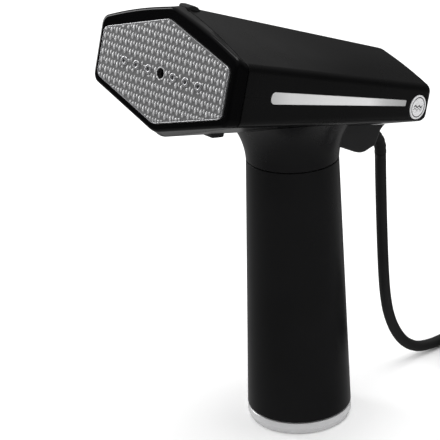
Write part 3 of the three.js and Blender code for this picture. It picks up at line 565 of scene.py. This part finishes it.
def half_section(y, inset, upper):
    """Open outline from the right side's seam over the apex to the left side's seam."""
    section = body_section(y)
    middle = -section["drop"]
    sign = 1 if upper else -1
    w = section["width"] - inset
    kept = [(x, z) for x, z in hexagon(**section, inset=inset, steps=9) if sign * (z - middle) > SEAM_BAND]
    right = sorted([p for p in kept if p[0] >= 0], key=lambda p: sign * (p[1] - middle))
    left = sorted([p for p in kept if p[0] < 0], key=lambda p: -sign * (p[1] - middle))
    lip = 0.05 if inset == 0 else 0.0
    start = [(w - lip, middle + sign * SEAM), (w, middle + sign * (SEAM + 0.08))]
    end = [(-x, z) for x, z in reversed(start)]
    return start + right + left + end


def half_casing(name, upper):
    last = BODY_REAR["at"]
    outer = [(BODY_FRONT["at"], 0.3), (BODY_FRONT["at"] + 0.12, 0.1), (BODY_FRONT["at"] + 0.4, 0.0)]
    outer += [(y, 0.0) for y in (12, 24, 40, 60, 80, 100, 120, 140, 152, 157)]
    outer += [(last - 3.2 + 3.2 * sin(a), 2.0 * (1 - cos(a)))
              for a in (radians(15 * k) for k in range(7))]
    inner = [(last - 0.01, WALL + 0.4), (BODY_FRONT["at"] + 0.02, WALL + 0.1)]
    rings = [[(x, y, z) for x, z in half_section(y, inset, upper)] for y, inset in outer + inner]
    count = len(rings[0])
    faces = []
    for a in range(len(rings)):
        b = (a + 1) % len(rings)
        for k in range(count - 1):
            faces.append((a * count + k, a * count + k + 1, b * count + k + 1, b * count + k))
    total = len(rings)
    for edge in (0, count - 1):
        faces.append(tuple(r * count + edge for r in range(total)))
    return new_object(name, [p for ring in rings for p in ring], faces, HEAD)


def on_side(points, y, mirrored):
    """Points (along, up, out) on the flat side, in the head's frame."""
    section = body_section(y)
    rearward = Vector((-sin(SIDE_TAPER), cos(SIDE_TAPER), -tan(SPLIT_SLOPE))).normalized()
    outward = Vector((cos(SIDE_TAPER), sin(SIDE_TAPER), 0))
    upward = outward.cross(rearward)
    base = Vector((section["width"], y, -section["drop"]))
    placed = [base + rearward * a + upward * u + outward * o for a, u, o in points]
    return [(-p.x if mirrored else p.x, p.y, p.z) for p in placed]


STRIP = dict(start=27.0, length=113.8, front=3.2, rear=1.7)
BADGE = dict(at=151.6, below=2.0, radius=6.8)


def strip_outline(grow=0.0):
    length, front, rear = STRIP["length"] + grow, STRIP["front"] + grow, STRIP["rear"] + grow
    nose = arc(STRIP["front"], 0, front, 97, 263, 14)
    tail = arc(length - 0.7, -rear + 0.7, 0.7, -90, 0, 4) + arc(length - 0.7, rear - 0.7, 0.7, 0, 90, 4)
    return nose + tail


def flat_on_side(name, outline, y, levels, mirrored):
    """Stacks an outline on the side at (out, shrink) levels; outline is a function of growth."""
    rings = [on_side([(a, u, out) for a, u in outline(grow)], y, mirrored) for out, grow in levels]
    return skin(name, rings, HEAD)


def badge_outline(grow=0.0):
    return arc(0, -BADGE["below"], BADGE["radius"] + grow, 0, 360 - 360 / 64, 63)


def head_casing():
    for upper, name, old in ((True, "upper_casing", "upper_body_shell"),
                             (False, "lower_casing", "lower_body_shell")):
        shell = half_casing(name, upper)
        for mirrored in (False, True):
            groove = [(-0.55, 0.22), (2.0, 0.22)]
            cut(shell, flat_on_side("cutter", strip_outline, STRIP["start"], groove, mirrored),
                flat_on_side("cutter", badge_outline, BADGE["at"], groove, mirrored))
        if not upper:
            for x, y in BODY_SCREWS:
                cut(shell, rod(3.3, -45, 0, 32, HEAD @ Matrix.Translation((x, y, 0))))
        piece(soften(shell), "head", "satin black plastic", "satin_black", old)


def side_trim():
    for mirrored, side in ((False, "right"), (True, "left")):
        levels = [(-0.5, 0.0), (0.05, 0.0), (0.2, -0.06), (0.28, -0.2), (0.3, -0.45)]
        strip = flat_on_side(f"trim_strip_{side}", strip_outline, STRIP["start"], levels, mirrored)
        piece(soften(strip), "head", "strip metal with painted reflection", "trim_chrome", f"side_trim_strip_{side}")
        levels = [(-0.5, 0.0), (0.3, 0.0), (0.44, -0.08), (0.5, -0.28), (0.5, -0.7), (0.42, -0.95),
                  (0.38, -1.4)]
        badge = flat_on_side(f"badge_{side}", badge_outline, BADGE["at"], levels, mirrored)
        piece(soften(badge), "head", "badge metal", "trim_chrome", f"round_badge_{side}")


# ---- bezel, plate and nozzles
def bezel():
    """One closed skin: window, front face, rounded edge, flare to the casing, and back inside."""
    window = dict(PLATE)
    front = dict(width=52.9, height=31.6, side=16.0, drop=0.0, swell=1.6)
    edge = dict(width=55.0, height=33.5, side=17.3, drop=0.0, swell=1.9)
    back = dict(width=56.7, height=35.1, side=15.6, drop=0.9, swell=1.5)

    rings = [at_y(hexagon(**window, rounding=PLATE_ROUNDING, inset=-0.3), 2.2),
             at_y(hexagon(**window, rounding=PLATE_ROUNDING, inset=-0.3), -0.13),
             at_y(hexagon(**window, rounding=PLATE_ROUNDING, inset=-0.6), -0.35)]
    steps = 7
    for k in range(steps + 1):
        a = pi / 2 * k / steps
        rings.append(at_y(hexagon(**between(front, edge, sin(a)), rounding=(5.5, 13)),
                          -0.35 + 1.95 * (1 - cos(a))))
    for t in (0.35, 0.7, 0.93):
        rings.append(at_y(hexagon(**between(edge, back, t), rounding=(5.2, 12.5)), 1.6 + 4.6 * t))
    rings.append(at_y(hexagon(**back, inset=0.02), 6.1))
    rings.append(at_y(hexagon(**back, inset=0.25), 6.3))
    rings.append(at_y(hexagon(**back, inset=2.4), 6.3))
    rings.append(at_y(hexagon(**edge, rounding=(5.5, 13), inset=2.4), 2.2))
    made = skin("bezel_rim", rings, HEAD, around=True)
    piece(soften(made), "head", "gloss black plastic", "gloss_black", "front_bezel")


STUD_PITCH, STUD_SIDES = 4.4, 10
LARGE_STUD = dict(half_width=0.98, half_height=1.95, height=0.62, lift=0.0)
SMALL_STUD = dict(half_width=0.8, half_height=1.4, height=0.5, lift=0.9)
STUD_MARGINS = dict(slope=0.7, side=1.6, nozzle=2.8, shortest=0.45)


def room_in_front(z):
    """How far the plate's face may be built forward at this height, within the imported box."""
    limit = CAD_BOX[0][1] / MM - HEAD_ORIGIN.y - z * sin(HEAD_TILT)
    return PLATE_FACE - limit / cos(HEAD_TILT) - 0.03


def dimples():
    """Raised oval studs in two sizes, on a square grid over the plate's face."""
    pitch, sides = STUD_PITCH, STUD_SIDES
    slope = (PLATE["height"] - PLATE["side"]) / PLATE["width"]
    points, faces = [], []
    rows = int(PLATE["height"] / pitch) + 2
    columns = int(PLATE["width"] / pitch * 2) + 1
    for row in range(-rows, rows + 1):
        for column in range(-columns, columns + 1):
            stud = SMALL_STUD if column % 2 else LARGE_STUD
            half_width, half_height, height = stud["half_width"], stud["half_height"], stud["height"]
            x = column * pitch / 2
            z = row * pitch - PLATE["drop"] + stud["lift"]
            edge = PLATE["height"] - STUD_MARGINS["slope"] - abs(x) * slope
            top = min(z + half_height, edge - PLATE["drop"])
            bottom = max(z - half_height, -edge - PLATE["drop"])
            z, half_height = (top + bottom) / 2, (top - bottom) / 2
            near = min(hypot(x - nx, z - NOZZLE_Z) for nx in NOZZLE_XS + [0])
            half_height = min(half_height, near - STUD_MARGINS["nozzle"])
            height = min(height, room_in_front(z - half_height / 2))
            if abs(x) > PLATE["width"] - STUD_MARGINS["side"] or half_height < STUD_MARGINS["shortest"]:
                continue
            base = len(points)
            for level, share in ((0.0, 1.0), (0.55, 0.8), (0.9, 0.45)):
                for k in range(sides):
                    a = 2 * pi * k / sides
                    points.append((x + half_width * share * cos(a), PLATE_FACE + 0.02 - height * level,
                                   z + half_height * share * sin(a)))
            points.append((x, PLATE_FACE - height, z))
            for k in range(sides):
                n = (k + 1) % sides
                for ring in (base, base + sides):
                    faces.append((ring + k, ring + n, ring + sides + n, ring + sides + k))
                faces.append((base + 2 * sides + k, base + 2 * sides + n, base + 3 * sides))
    return new_object("dimples", points, faces, HEAD)


BEAD = [(0.02, 0.6), (0.0, 0.1), (0.08, -0.04), (0.25, -0.08), (0.42, -0.04), (0.5, 0.1)]


def plate_bead():
    """A polished bead round the plate's edge, in the plate's second material."""
    rings = [at_y(hexagon(**PLATE, rounding=PLATE_ROUNDING, inset=inset), PLATE_FACE + y)
             for inset, y in BEAD]
    return skin("bead", rings, HEAD, caps=False)


def steam_plate():
    rings = [at_y(hexagon(**PLATE, rounding=PLATE_ROUNDING), 1.7),
             at_y(hexagon(**PLATE, rounding=PLATE_ROUNDING), PLATE_FACE + 0.5),
             at_y(hexagon(**PLATE, rounding=PLATE_ROUNDING, inset=0.15), PLATE_FACE + 0.15),
             at_y(hexagon(**PLATE, rounding=PLATE_ROUNDING, inset=0.5), PLATE_FACE)]
    plate = skin("dimpled_steam_plate", rings, HEAD)
    for x in NOZZLE_XS:
        cut(plate, rod(1.9, -6, 6, 32, along_y(x, 0, NOZZLE_Z)))
    cut(plate, rod(2.8, -6, 6, 48, along_y(0, 0, NOZZLE_Z)))
    collar = [(2.8, 1.6), (2.8, 0.0), (2.9, -0.28), (3.1, -0.38), (3.35, -0.34), (3.6, -0.1), (3.65, 0.05)]
    ring = lathe("collar", [(r, PLATE_FACE + h) for r, h in collar], 48, along_y(0, 0, NOZZLE_Z), closed=True)
    bead = plate_bead()
    bead_faces = len(bead.data.polygons)
    merge(plate, dimples(), ring, bead)
    piece(soften(plate), "head", "plate metal", "plate_metal", "steam_plate")
    plate.data.materials.append(MATERIALS["bush steel"])
    for polygon in plate.data.polygons[-bead_faces:]:
        polygon.material_index = 1


def nozzles():
    profile = [(1.1, 2.9), (1.1, -0.42), (1.25, -0.62), (1.55, -0.78), (1.95, -0.8), (2.3, -0.68),
               (2.52, -0.42), (2.58, -0.1), (2.58, 0.0), (1.6, 0.0), (1.6, 2.9)]
    for i, x in enumerate(NOZZLE_XS):
        bush = lathe(f"nozzle_{i + 1}", [(r, PLATE_FACE + h) for r, h in profile], 32,
                     along_y(x, 0, NOZZLE_Z), closed=True)
        piece(soften(bush), "head", "bush steel", "bush_steel", f"nozzle_bush_{i + 1}")


def catches():
    top = [(7, 31), (7, 34.3), (8, 34.9), (10.8, 34.9), (13.5, 34.2), (15.6, 32.6), (15.6, 31)]
    bottom = [(39, -31), (47.6, -31), (47.6, -34.5), (47, -35), (39.6, -35.6), (39, -35.2)]
    for name, outline, half in (("top", top, 4.2), ("bottom", bottom, 3.6)):
        made = prism(f"catch_{name}", outline, -half, half, HEAD)
        piece(soften(made, 0.7, 4), "head", "matte black plastic", "matte_black", f"brush_catch_{name}")


# ---- rear panel and controls
BODY_SCREWS = [(-30, 40), (30, 40), (-26, 118), (26, 118)]
PANEL_FACE = 159.6


def rear_panel():
    section = body_section(PANEL_FACE)
    rings = [at_y(hexagon(**section, inset=3.4), 157.4), at_y(hexagon(**section, inset=3.4), 159.2),
             at_y(hexagon(**section, inset=3.8), 159.6)]
    panel = skin("control_panel", rings, HEAD)
    for x, z, radius in ((0, -8, 7.8), (-20, -6, 3.3), (-31, -5.9, 1.7), (31, -5.9, 1.7)):
        cut(panel, rod(radius, 150, 170, 64, along_y(x, 0, z)))
    cut(panel, block("cutter", 14.2, 25.8, 150, 170, -15.2, 3.2, HEAD),
        block("cutter", -7.8, 7.8, 150, 170, 4.4, 9.6, HEAD))
    piece(soften(panel, 0.25, 2), "head", "gloss black plastic", "gloss_black", "rear_panel")


def controls():
    cap = [(0.01, 148.6), (2.2, 148.6), (2.2, 155.4), (7.5, 155.4), (7.5, 160.6), (7.3, 161.2),
           (6.8, 161.6), (6.2, 161.7), (5.6, 161.55), (4.4, 161.2), (2.4, 160.95), (0.01, 160.9)]
    button = lathe("steam_button_cap", cap, 64, along_y(0, 0, -8))
    piece(soften(button), "steam_button", "control plastic", "satin_black", "steam_button")

    outline = [(3.2, -8.3), (3.15, -4), (3.2, 0), (3.9, 3.6), (5.2, 7.2), (4.5, 7.8), (3.2, 8.3),
               (1, 8.84), (-3, 0), (1, -8.84)]
    rocker = prism("rocker_paddle", [(157 + y, z - 6) for y, z in outline], 14.5, 25.5, HEAD)
    piece(soften(rocker, 0.5, 3), "power_rocker", "control plastic", "matte_black", "power_rocker")

    slider = block("lock_thumb", -7.5, 1.5, 156, 160.6, 4.7, 9.3, HEAD)
    lip = block("lock_lip", -9.1, 3.1, 153.4, 157, 3.7, 10.3, HEAD)
    ribs = [prism("rib", [(160.4, 4.7), (160.4, 9.3), (161.2, 9.0), (161.2, 5.0)], x - 0.4, x + 0.4, HEAD)
            for x in (-6.2, -4.6, -3.0, -1.4, 0.2)]
    merge(soften(slider, 0.3, 2), lip, *ribs)
    piece(soften(slider), "steam_lock", "control plastic", "matte_black", "steam_lock_slider")

    dome = [(0.01, 153.4), (4.2, 153.4), (4.2, 157), (3, 157), (3, 159.6), (2.7, 160.1), (1.8, 160.5),
            (0.01, 160.65)]
    lens = lathe("lamp_lens", dome, 48, along_y(-20, 0, -6))
    piece(soften(lens), "head", "amber lens", "lamp_amber", "indicator_lens")


def screw(name, place, length, node_name):
    """A pan head with a cross recess, its seat at height 0 and its head above."""
    profile = [(0.01, -length), (1.0, -length), (1.35, -length + 0.8), (1.35, 0), (2.9, 0), (2.85, 0.8),
               (2.5, 1.5), (1.8, 1.9), (0.01, 2.0)]
    made = lathe(name, profile, 32, place)
    for turn in (0, pi / 2):
        cut(made, block("cutter", -0.4, 0.4, -1.7, 1.7, 1.1, 3, place @ Matrix.Rotation(turn, 4, "Z")))
    piece(soften(made), "head", "stainless steel", "stainless", node_name)


def screws():
    down = Matrix.Rotation(pi, 4, "X")
    for i, (x, y) in enumerate(BODY_SCREWS):
        screw(f"casing_screw_{i + 1}", HEAD @ Matrix.Translation((x, y, -12.3)) @ down, 16,
              f"body_screw_{i + 1}")
    for i, x in enumerate((-31, 31)):
        screw(f"rear_screw_{i + 1}", along_y(x, PANEL_FACE + 0.3, -5.9), 10, f"panel_screw_{i + 1}")


# ---- neck, chin and tank
NECK_TOP = 197.0


def casing_cutter():
    """The casing's outer shape as a solid, for trimming what meets it from below."""
    return skin("cutter", [at_y(hexagon(**body_section(y), inset=-0.08), y) for y in (2, 60, 110, 168)], HEAD)


def neck_radius(z):
    return 26 + 0.013 * (z - 158) ** 2


def neck():
    heights = [NECK_BOTTOM + 0.35 + (NECK_TOP - NECK_BOTTOM - 0.35) * k / 26 for k in range(27)]
    outer = [(25.7, NECK_BOTTOM), (25.95, NECK_BOTTOM + 0.1)] + [(neck_radius(z), z) for z in heights]
    inner = [(neck_radius(z) - WALL, z) for z in (NECK_TOP - 0.1, 188, 180, 170, NECK_BOTTOM + 0.05)]
    shell = lathe("flared_neck", outer + inner, 128, closed=True)
    cut(shell, casing_cutter())
    piece(soften(shell), "head", "neck black plastic with painted light", "satin_black", "neck_shell")


CHIN = [(18, 164), (26.5, 160.4), (37.5, 154.4), (41.5, 152.7), (45, 152.6), (49.5, 153.6), (53, 154),
        (57.1, 161.8), (58.6, 163.4), (62, 165), (62, 176), (18, 184)]


CHIN_HALF_WIDTH, CHIN_ROUNDING = 12.5, 2.6
CORD_HOLE = dict(radius=4.3, start=44, end=75)


def chin():
    body = prism("cord_chin", CHIN, -CHIN_HALF_WIDTH, CHIN_HALF_WIDTH)
    soften(body, CHIN_ROUNDING, 5, 20)
    settle(body)
    bore = Matrix.Translation((0, 0, RELIEF["z"])) @ Matrix.Rotation(-pi / 2, 4, "X")
    cut(body, casing_cutter(), rod(**CORD_HOLE, segments=40, place=bore))
    piece(soften(body), "head", "chin black plastic with painted light", "satin_black", "cord_housing")


def tank_radius(z):
    low, high = TANK_RADII
    return low + (high - low) * (z - TANK_BOTTOM) / (TANK_TOP - TANK_BOTTOM)


def tank():
    wall = 2.0
    heights = [TANK_BOTTOM + 0.9 + (TANK_TOP - TANK_BOTTOM - 1.3) * k / 12 for k in range(13)]
    outer = [(0.01, TANK_BOTTOM), (28.9, TANK_BOTTOM), (29.6, TANK_BOTTOM + 0.25)]
    outer += [(tank_radius(z), z) for z in heights]
    outer += [(tank_radius(TANK_TOP) - 0.1, TANK_TOP - 0.1), (tank_radius(TANK_TOP) - 0.4, TANK_TOP)]
    floor = TANK_BOTTOM + 2.2
    inner = [(tank_radius(TANK_TOP) - wall, TANK_TOP), (tank_radius(100) - wall, 100),
             (tank_radius(floor) - wall, floor + 2), (tank_radius(floor) - wall - 2, floor), (0.01, floor)]
    body = lathe("handle_tank", outer + inner, 160)
    piece(soften(body), "tank", "tank black plastic with painted light", "satin_black", "water_tank")

    profile = [(23.5, 0.5), (23.8, 0.2), (28.3, 0.2), (28.6, 0.35), (28.8, 0.7), (29.8, 3.1),
               (30.05, 3.5), (30.05, 3.9), (29.75, 6.4), (29.6, 6.8), (29.2, 7.0), (26, 7.0), (23.5, 4)]
    ring = lathe("foot_ring", profile, 160, closed=True)
    piece(soften(ring), "tank", "ring chrome", "trim_chrome", "tank_base_ring")

    pad = [(0.01, 0.5), (8, 0.5), (8.4, 0.0), (12, 0.0), (12.4, 0.5), (16, 0.5), (16.4, 0.0), (22.6, 0.0),
           (23.2, 0.6), (23.2, 3.4), (0.01, 3.4)]
    piece(soften(lathe("foot_pad", pad, 128)), "tank", "black rubber", "black_rubber", "tank_foot")


def tank_fittings():
    socket = [(0.01, 152), (21.5, 152), (21.5, 149.3), (21.9, 149), (23.1, 149), (23.5, 149.4), (23.5, 153.4),
              (21.9, 153.4), (21.9, 156), (23.5, 156), (23.5, 159.8), (23.2, 160), (23.2, 163), (0.01, 163)]
    plug = lathe("tank_socket_plug", socket, 128)
    piece(soften(plug), "head", "matte black plastic", "matte_black", "tank_socket")
    seal = [(22.95 + 0.75 * cos(a), 154.7 + 0.9 * sin(a))
            for a in (2 * pi * k / 16 for k in range(16))]
    ring = lathe("seal_ring", seal, 128, closed=True)
    piece(soften(ring), "head", "silicone", "silicone", "tank_seal_ring")
    place = Matrix.Translation((0, 14, 0))
    tube = [(1.4, 20), (2.4, 20), (2.6, 20.2), (2.6, 151.7), (1.4, 151.7)]
    piece(soften(lathe("water_pickup", tube, 32, place, closed=True)), "head", "natural plastic",
          "natural_plastic", "pickup_tube")
    sieve = [(0.01, 11.5), (3.6, 11.5), (4.3, 12)]
    for k in range(9):
        sieve += [(r, z + 0.75 * k) for r, z in ((4.3, 12.4), (3.9, 12.6), (3.9, 12.8), (4.3, 13.0))]
    sieve += [(4.2, 19.3), (3.6, 19.7), (0.01, 19.7)]
    piece(soften(lathe("pickup_sieve", sieve, 48, place)), "head", "brass", "brass_fittings", "water_filter")


# ---- mains cord
CORD_ROUTE = [
    (0, 68.6, 141.7), (0, 68.6, 134), (0, 68.7, 122), (0, 68.9, 108), (0, 69.2, 94), (0, 69.6, 80),
    (0, 70.2, 66), (0, 71.3, 52), (0, 73.9, 38), (0, 79.2, 25), (0, 87.2, 14), (0, 97.6, 6.9),
    (0, 109.5, 4.1), (0, 122.3, 3.6),
]
RELIEF = dict(start=45.0, bend=54.6, radius=14.0, z=158.0, end=142.0)


def smooth_path(points, spacing):
    """Points a given distance apart on a centripetal Catmull-Rom curve."""
    points = [Vector(p) for p in points]
    padded = [2 * points[0] - points[1]] + points + [2 * points[-1] - points[-2]]
    dense = []
    for p0, p1, p2, p3 in zip(padded, padded[1:], padded[2:], padded[3:]):
        t0 = 0.0
        t1 = t0 + max((p1 - p0).length, 1e-6) ** 0.5
        t2 = t1 + max((p2 - p1).length, 1e-6) ** 0.5
        t3 = t2 + max((p3 - p2).length, 1e-6) ** 0.5
        steps = max(2, int((p2 - p1).length / spacing * 3))
        for k in range(steps):
            t = t1 + (t2 - t1) * k / steps
            a1 = p0 * ((t1 - t) / (t1 - t0)) + p1 * ((t - t0) / (t1 - t0))
            a2 = p1 * ((t2 - t) / (t2 - t1)) + p2 * ((t - t1) / (t2 - t1))
            a3 = p2 * ((t3 - t) / (t3 - t2)) + p3 * ((t - t2) / (t3 - t2))
            b1 = a1 * ((t2 - t) / (t2 - t0)) + a2 * ((t - t0) / (t2 - t0))
            b2 = a2 * ((t3 - t) / (t3 - t1)) + a3 * ((t - t1) / (t3 - t1))
            dense.append(b1 * ((t2 - t) / (t2 - t1)) + b2 * ((t - t1) / (t2 - t1)))
    dense.append(points[-1])
    even, travelled = [dense[0]], 0.0
    for a, b in zip(dense, dense[1:]):
        travelled += (b - a).length
        if travelled >= spacing:
            even.append(b)
            travelled = 0.0
    if (even[-1] - points[-1]).length < spacing / 2:
        even.pop()
    even.append(points[-1])
    return even


def sweep(name, path, radius, sides=16):
    """A tube along a path; radius is a number or a function of the share travelled."""
    lengths = [0.0]
    for a, b in zip(path, path[1:]):
        lengths.append(lengths[-1] + (b - a).length)
    side, rings = None, []
    for i, p in enumerate(path):
        before, after = path[max(i - 1, 0)], path[min(i + 1, len(path) - 1)]
        tangent = (after - before).normalized()
        if side is None:
            side = tangent.orthogonal().normalized()
        else:
            side = (side - tangent * side.dot(tangent)).normalized()
        other = tangent.cross(side)
        r = radius(lengths[i] / lengths[-1]) if callable(radius) else radius
        rings.append([p + (side * cos(2 * pi * k / sides)
                           + other * sin(2 * pi * k / sides)) * r for k in range(sides)])
    return skin(name, rings)


def coil_points():
    """Seven and a half turns: three beside each other, three on top, one and a half above those."""
    d = 2 * CORD_RADIUS
    slots = [(1, 0), (0, 0), (-1, 0), (-1, 1), (0, 1), (1, 1), (0, 2), (1, 2)]
    places = [(COIL["mid"] + d * across, COIL["bottom"] + CORD_RADIUS + d * layer) for across, layer in slots]
    per_turn = 28
    change = 0.16
    points = []
    for k in range(1, int(7.5 * per_turn) + 1):
        turns = k / per_turn
        here = min(int(turns), len(places) - 1)
        share = max(0.0, (turns - here - (1 - change)) / change)
        share = share * share * (3 - 2 * share)
        r0, z0 = places[here]
        r1, z1 = places[min(here + 1, len(places) - 1)]
        radius, z = r0 + (r1 - r0) * share, z0 + (z1 - z0) * share
        a = pi - 2 * pi * turns
        points.append((COIL["x"] + radius * cos(a), COIL["y"] + radius * sin(a), z))
    return points


def cord_path():
    entry = [(0, 135, 3.9), (COIL["x"] - COIL["mid"] - 2 * CORD_RADIUS, COIL["y"], COIL["bottom"] + 3.3)]
    tail = [(87.2, 140, 17.4), (87.1, 131, 15.9), (86.9, 122, 13.8), (86, 114, 11.4),
            (PLUG.x + 0.3, PLUG.y + 20, 9.9), (PLUG.x, PLUG.y + 14, PLUG.z)]
    return smooth_path(CORD_ROUTE + entry + coil_points() + tail, 4.0)


def mains_cord():
    r = RELIEF["radius"]
    bend = [(0, RELIEF["bend"] + r * sin(a), RELIEF["z"] - r * (1 - cos(a)))
            for a in (pi / 2 * k / 8 for k in range(9))]
    spine = smooth_path([(0, RELIEF["start"], RELIEF["z"])] + bend + [(0, 68.6, RELIEF["end"])], 0.8)

    def taper(share):
        ribbed = 0.22 * max(0.0, sin(2 * pi * share * 9)) if share > 0.3 else 0.0
        return 4.2 - 0.75 * share - ribbed

    relief = sweep("tapered_relief", spine, taper, 24)
    merge(relief, block("relief_flange", -6, 6, 42, 45.5, 156.3, 163))
    piece(soften(relief), "head", "black rubber", "black_rubber", "strain_relief")

    path = cord_path()
    flex = sweep("mains_flex", path, CORD_RADIUS, 16)
    dress(flex, "black rubber")
    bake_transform(flex)
    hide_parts("power_cord", "cord_coil", "cord_tail")

    half = 3 * CORD_RADIUS + 0.35
    low, high = COIL["bottom"] - 0.15, COIL["bottom"] + 6 * CORD_RADIUS + 0.35
    y = COIL["y"] + COIL["mid"]

    def strap(grow):
        corners = [(y - half - grow, low - min(grow, 0.95)), (y + half + grow, low - min(grow, 0.95)),
                   (y + half + grow, high + grow), (y - half - grow, high + grow)]
        return rounded(corners, [3.2 + grow] * 4, 6)

    rings = [[(x, *p) for p in strap(grow)] for x, grow in
             ((COIL["x"] - 5.8, 0), (COIL["x"] - 6, 0.5), (COIL["x"] - 5.7, 1.0), (COIL["x"] + 5.7, 1.0),
              (COIL["x"] + 6, 0.5), (COIL["x"] + 5.8, 0))]
    tie = skin("strap_tie", rings, around=True)
    buckle = block("buckle", COIL["x"] - 7, COIL["x"] + 7, y - 4.5, y + 4.5, high + 0.6, high + 1.5)
    merge(tie, soften(buckle, 0.4, 2))
    piece(soften(tie), "tank", "matte black plastic", "matte_black", "cord_tie")

    plug = plug_pieces()


def plug_pieces():
    sections = [(-14.8, 11.2, 6.2, 2.5), (-14.2, 12.0, 7.0, 3.0), (-12, 12.5, 7.5, 3.4), (-7, 12.6, 7.7, 3.6),
                (-3, 12.2, 7.6, 3.8), (1, 10.2, 7.3, 4.2), (4, 8.2, 6.9, 4.6), (7, 7.0, 6.3, 4.8),
                (9, 6.2, 5.8, 4.8), (9.4, 5.4, 5.2, 4.6), (10.4, 5.4, 5.2, 4.6), (10.8, 5.9, 5.6, 4.8),
                (11.8, 5.8, 5.5, 4.8), (12.2, 5.0, 4.9, 4.4), (13.2, 5.0, 4.9, 4.4), (13.6, 5.4, 5.2, 4.6),
                (14.8, 5.2, 5.0, 4.5), (15.8, 4.6, 4.6, 4.2)]
    rings = []
    for y, w, h, r in sections:
        outline = rounded([(-w, -h), (w, -h), (w, h), (-w, h)], [min(r, w - 0.3, h - 0.3)] * 4, 6)
        rings.append([(PLUG.x + x, PLUG.y + y, PLUG.z + z) for x, z in outline])
    body = skin("plug_grip", rings)
    grips = [block("grip", PLUG.x + sx * 12.2 - 0.45, PLUG.x + sx * 12.2 + 0.45, PLUG.y + y - 0.6,
                   PLUG.y + y + 0.6, PLUG.z - 4.5, PLUG.z + 4.5)
             for sx in (-1, 1) for y in (-10, -7.5, -5)]
    merge(body, *grips)
    piece(soften(body), "tank", "black rubber", "black_rubber", "plug_body")
    blades = []
    for name, offset in (("left", -6.35), ("right", 6.35)):
        root = PLUG.y - 15.1
        outline = [(root, -3.2), (root - 15.4, -3.2), (root - 16.6, -2.4), (root - 17, -1.4),
                   (root - 17, 1.4), (root - 16.6, 2.4), (root - 15.4, 3.2), (root, 3.2)]
        x = PLUG.x + offset
        blade = prism(f"blade_{name}", [(y, PLUG.z + z) for y, z in outline], x - 0.75, x + 0.75)
        hole = Matrix.Translation((x, root - 12.2, PLUG.z)) @ Matrix.Rotation(pi / 2, 4, "Y")
        cut(blade, rod(1.6, -4, 4, 32, hole))
        blades.append(piece(soften(blade, 0.2, 2), "tank", "nickel plate", "plug_pins", f"plug_blade_{name}"))
    return [body, *blades]


# ---- pieces that stay as packed
def dress_packed():
    looks = {
        "cast aluminium": ["boiler_block"],
        "stainless steel": ["heating_element", "heat_shield", "thermal_fuse", "neck_screw_1", "neck_screw_2"],
        "brass": ["boiler_inlet"],
        "natural plastic": ["thermostat", "water_pump"],
        "silicone": ["plate_gasket", "suction_hose", "delivery_hose"],
        "black rubber": ["pump_cradle"],
        "board lacquer": ["control_board"],
        "matte black plastic": ["steam_microswitch", "power_switch_housing"],
    }
    for material, names in looks.items():
        for name in names:
            dress(NODES[name], material)


# ---- studio
def studio():
    half = 25.0
    mesh = bpy.data.meshes.new("floor")
    corners = [(-half, -half, 0), (half, -half, 0), (half, half, 0), (-half, half, 0)]
    mesh.from_pydata(corners, [], [(0, 1, 2, 3)])
    floor = bpy.data.objects.new("floor", mesh)
    show(floor)
    tree, bsdf = shader("floor")
    tone = mixed(tree, noise(tree, 3, 2), (0.95, 0.95, 0.95), (0.965, 0.965, 0.965))
    wire(tree, tone, bsdf.inputs["Base Color"])
    bsdf.inputs["Roughness"].default_value = 0.9
    bsdf.inputs["Specular IOR Level"].default_value = 0.1
    floor.data.materials.append(MATERIALS["floor"])
    floor.visible_glossy = False

    world = bpy.data.worlds.new("studio")
    bpy.context.scene.world = world
    world.use_nodes = True
    world.cycles.sampling_method = "NONE"
    tree = world.node_tree
    background = tree.nodes["Background"]
    path = node(tree, "LightPath")
    direction = node(tree, "TexCoord")
    split = node(tree, "SeparateXYZ")
    wire(tree, direction.outputs["Generated"], split.inputs[0])
    height = remap(tree, split.outputs["Z"], -1, 1, 0, 1)
    ramp = node(tree, "ValToRGB")
    fill_ramp(ramp, [(0.0, 0.25), (0.2, 0.2), (0.3, 0.2), (0.42, 0.1), (0.5, 0.05), (0.62, 0.05),
                     (0.75, 0.18), (1.0, 0.5)])
    wire(tree, height, ramp.inputs[0])
    behind = node(tree, "VectorMath", operation="DOT_PRODUCT")
    wire(tree, direction.outputs["Generated"], behind.inputs[0])
    behind.inputs[1].default_value = (-0.765, 0.643, 0)
    gain = remap(tree, behind.outputs["Value"], -0.3, 1.0, 0.55, 1.6)
    scaled = node(tree, "VectorMath", operation="SCALE")
    wire(tree, ramp.outputs[0], scaled.inputs[0])
    wire(tree, gain, scaled.inputs["Scale"])
    seen = mixed(tree, path.outputs["Is Glossy Ray"], (1.0, 1.0, 1.0), scaled.outputs[0])
    wire(tree, seen, background.inputs["Color"])
    background.inputs["Strength"].default_value = 1.0

    def soft_light(name, position, aim, width, height_m, power):
        data = bpy.data.lights.new(name, "AREA")
        data.shape = "RECTANGLE"
        data.size, data.size_y = width, height_m
        data.energy = power
        light = bpy.data.objects.new(name, data)
        show(light)
        light.location = position
        light.rotation_mode = "QUATERNION"
        light.rotation_quaternion = (Vector(aim) - Vector(position)).to_track_quat("-Z", "Y")
        light.visible_camera = False

    soft_light("top", (0.1, 0.2, 1.5), (0, 0, 0.1), 1.0, 1.0, 9)
    soft_light("left", (-1.0, -0.35, 0.5), (0, 0, 0.12), 0.35, 0.9, 4)
    soft_light("roof", (-0.24, 0.26, 0.42), (0.02, -0.09, 0.26), 0.26, 0.26, 0.028)


make_camera()
make_materials()
mains_cord()
head_casing()
side_trim()
bezel()
steam_plate()
nozzles()
catches()
rear_panel()
controls()
screws()
neck()
chin()
tank()
tank_fittings()
dress_packed()
studio()

bpy.context.scene.view_settings.view_transform = "Standard"
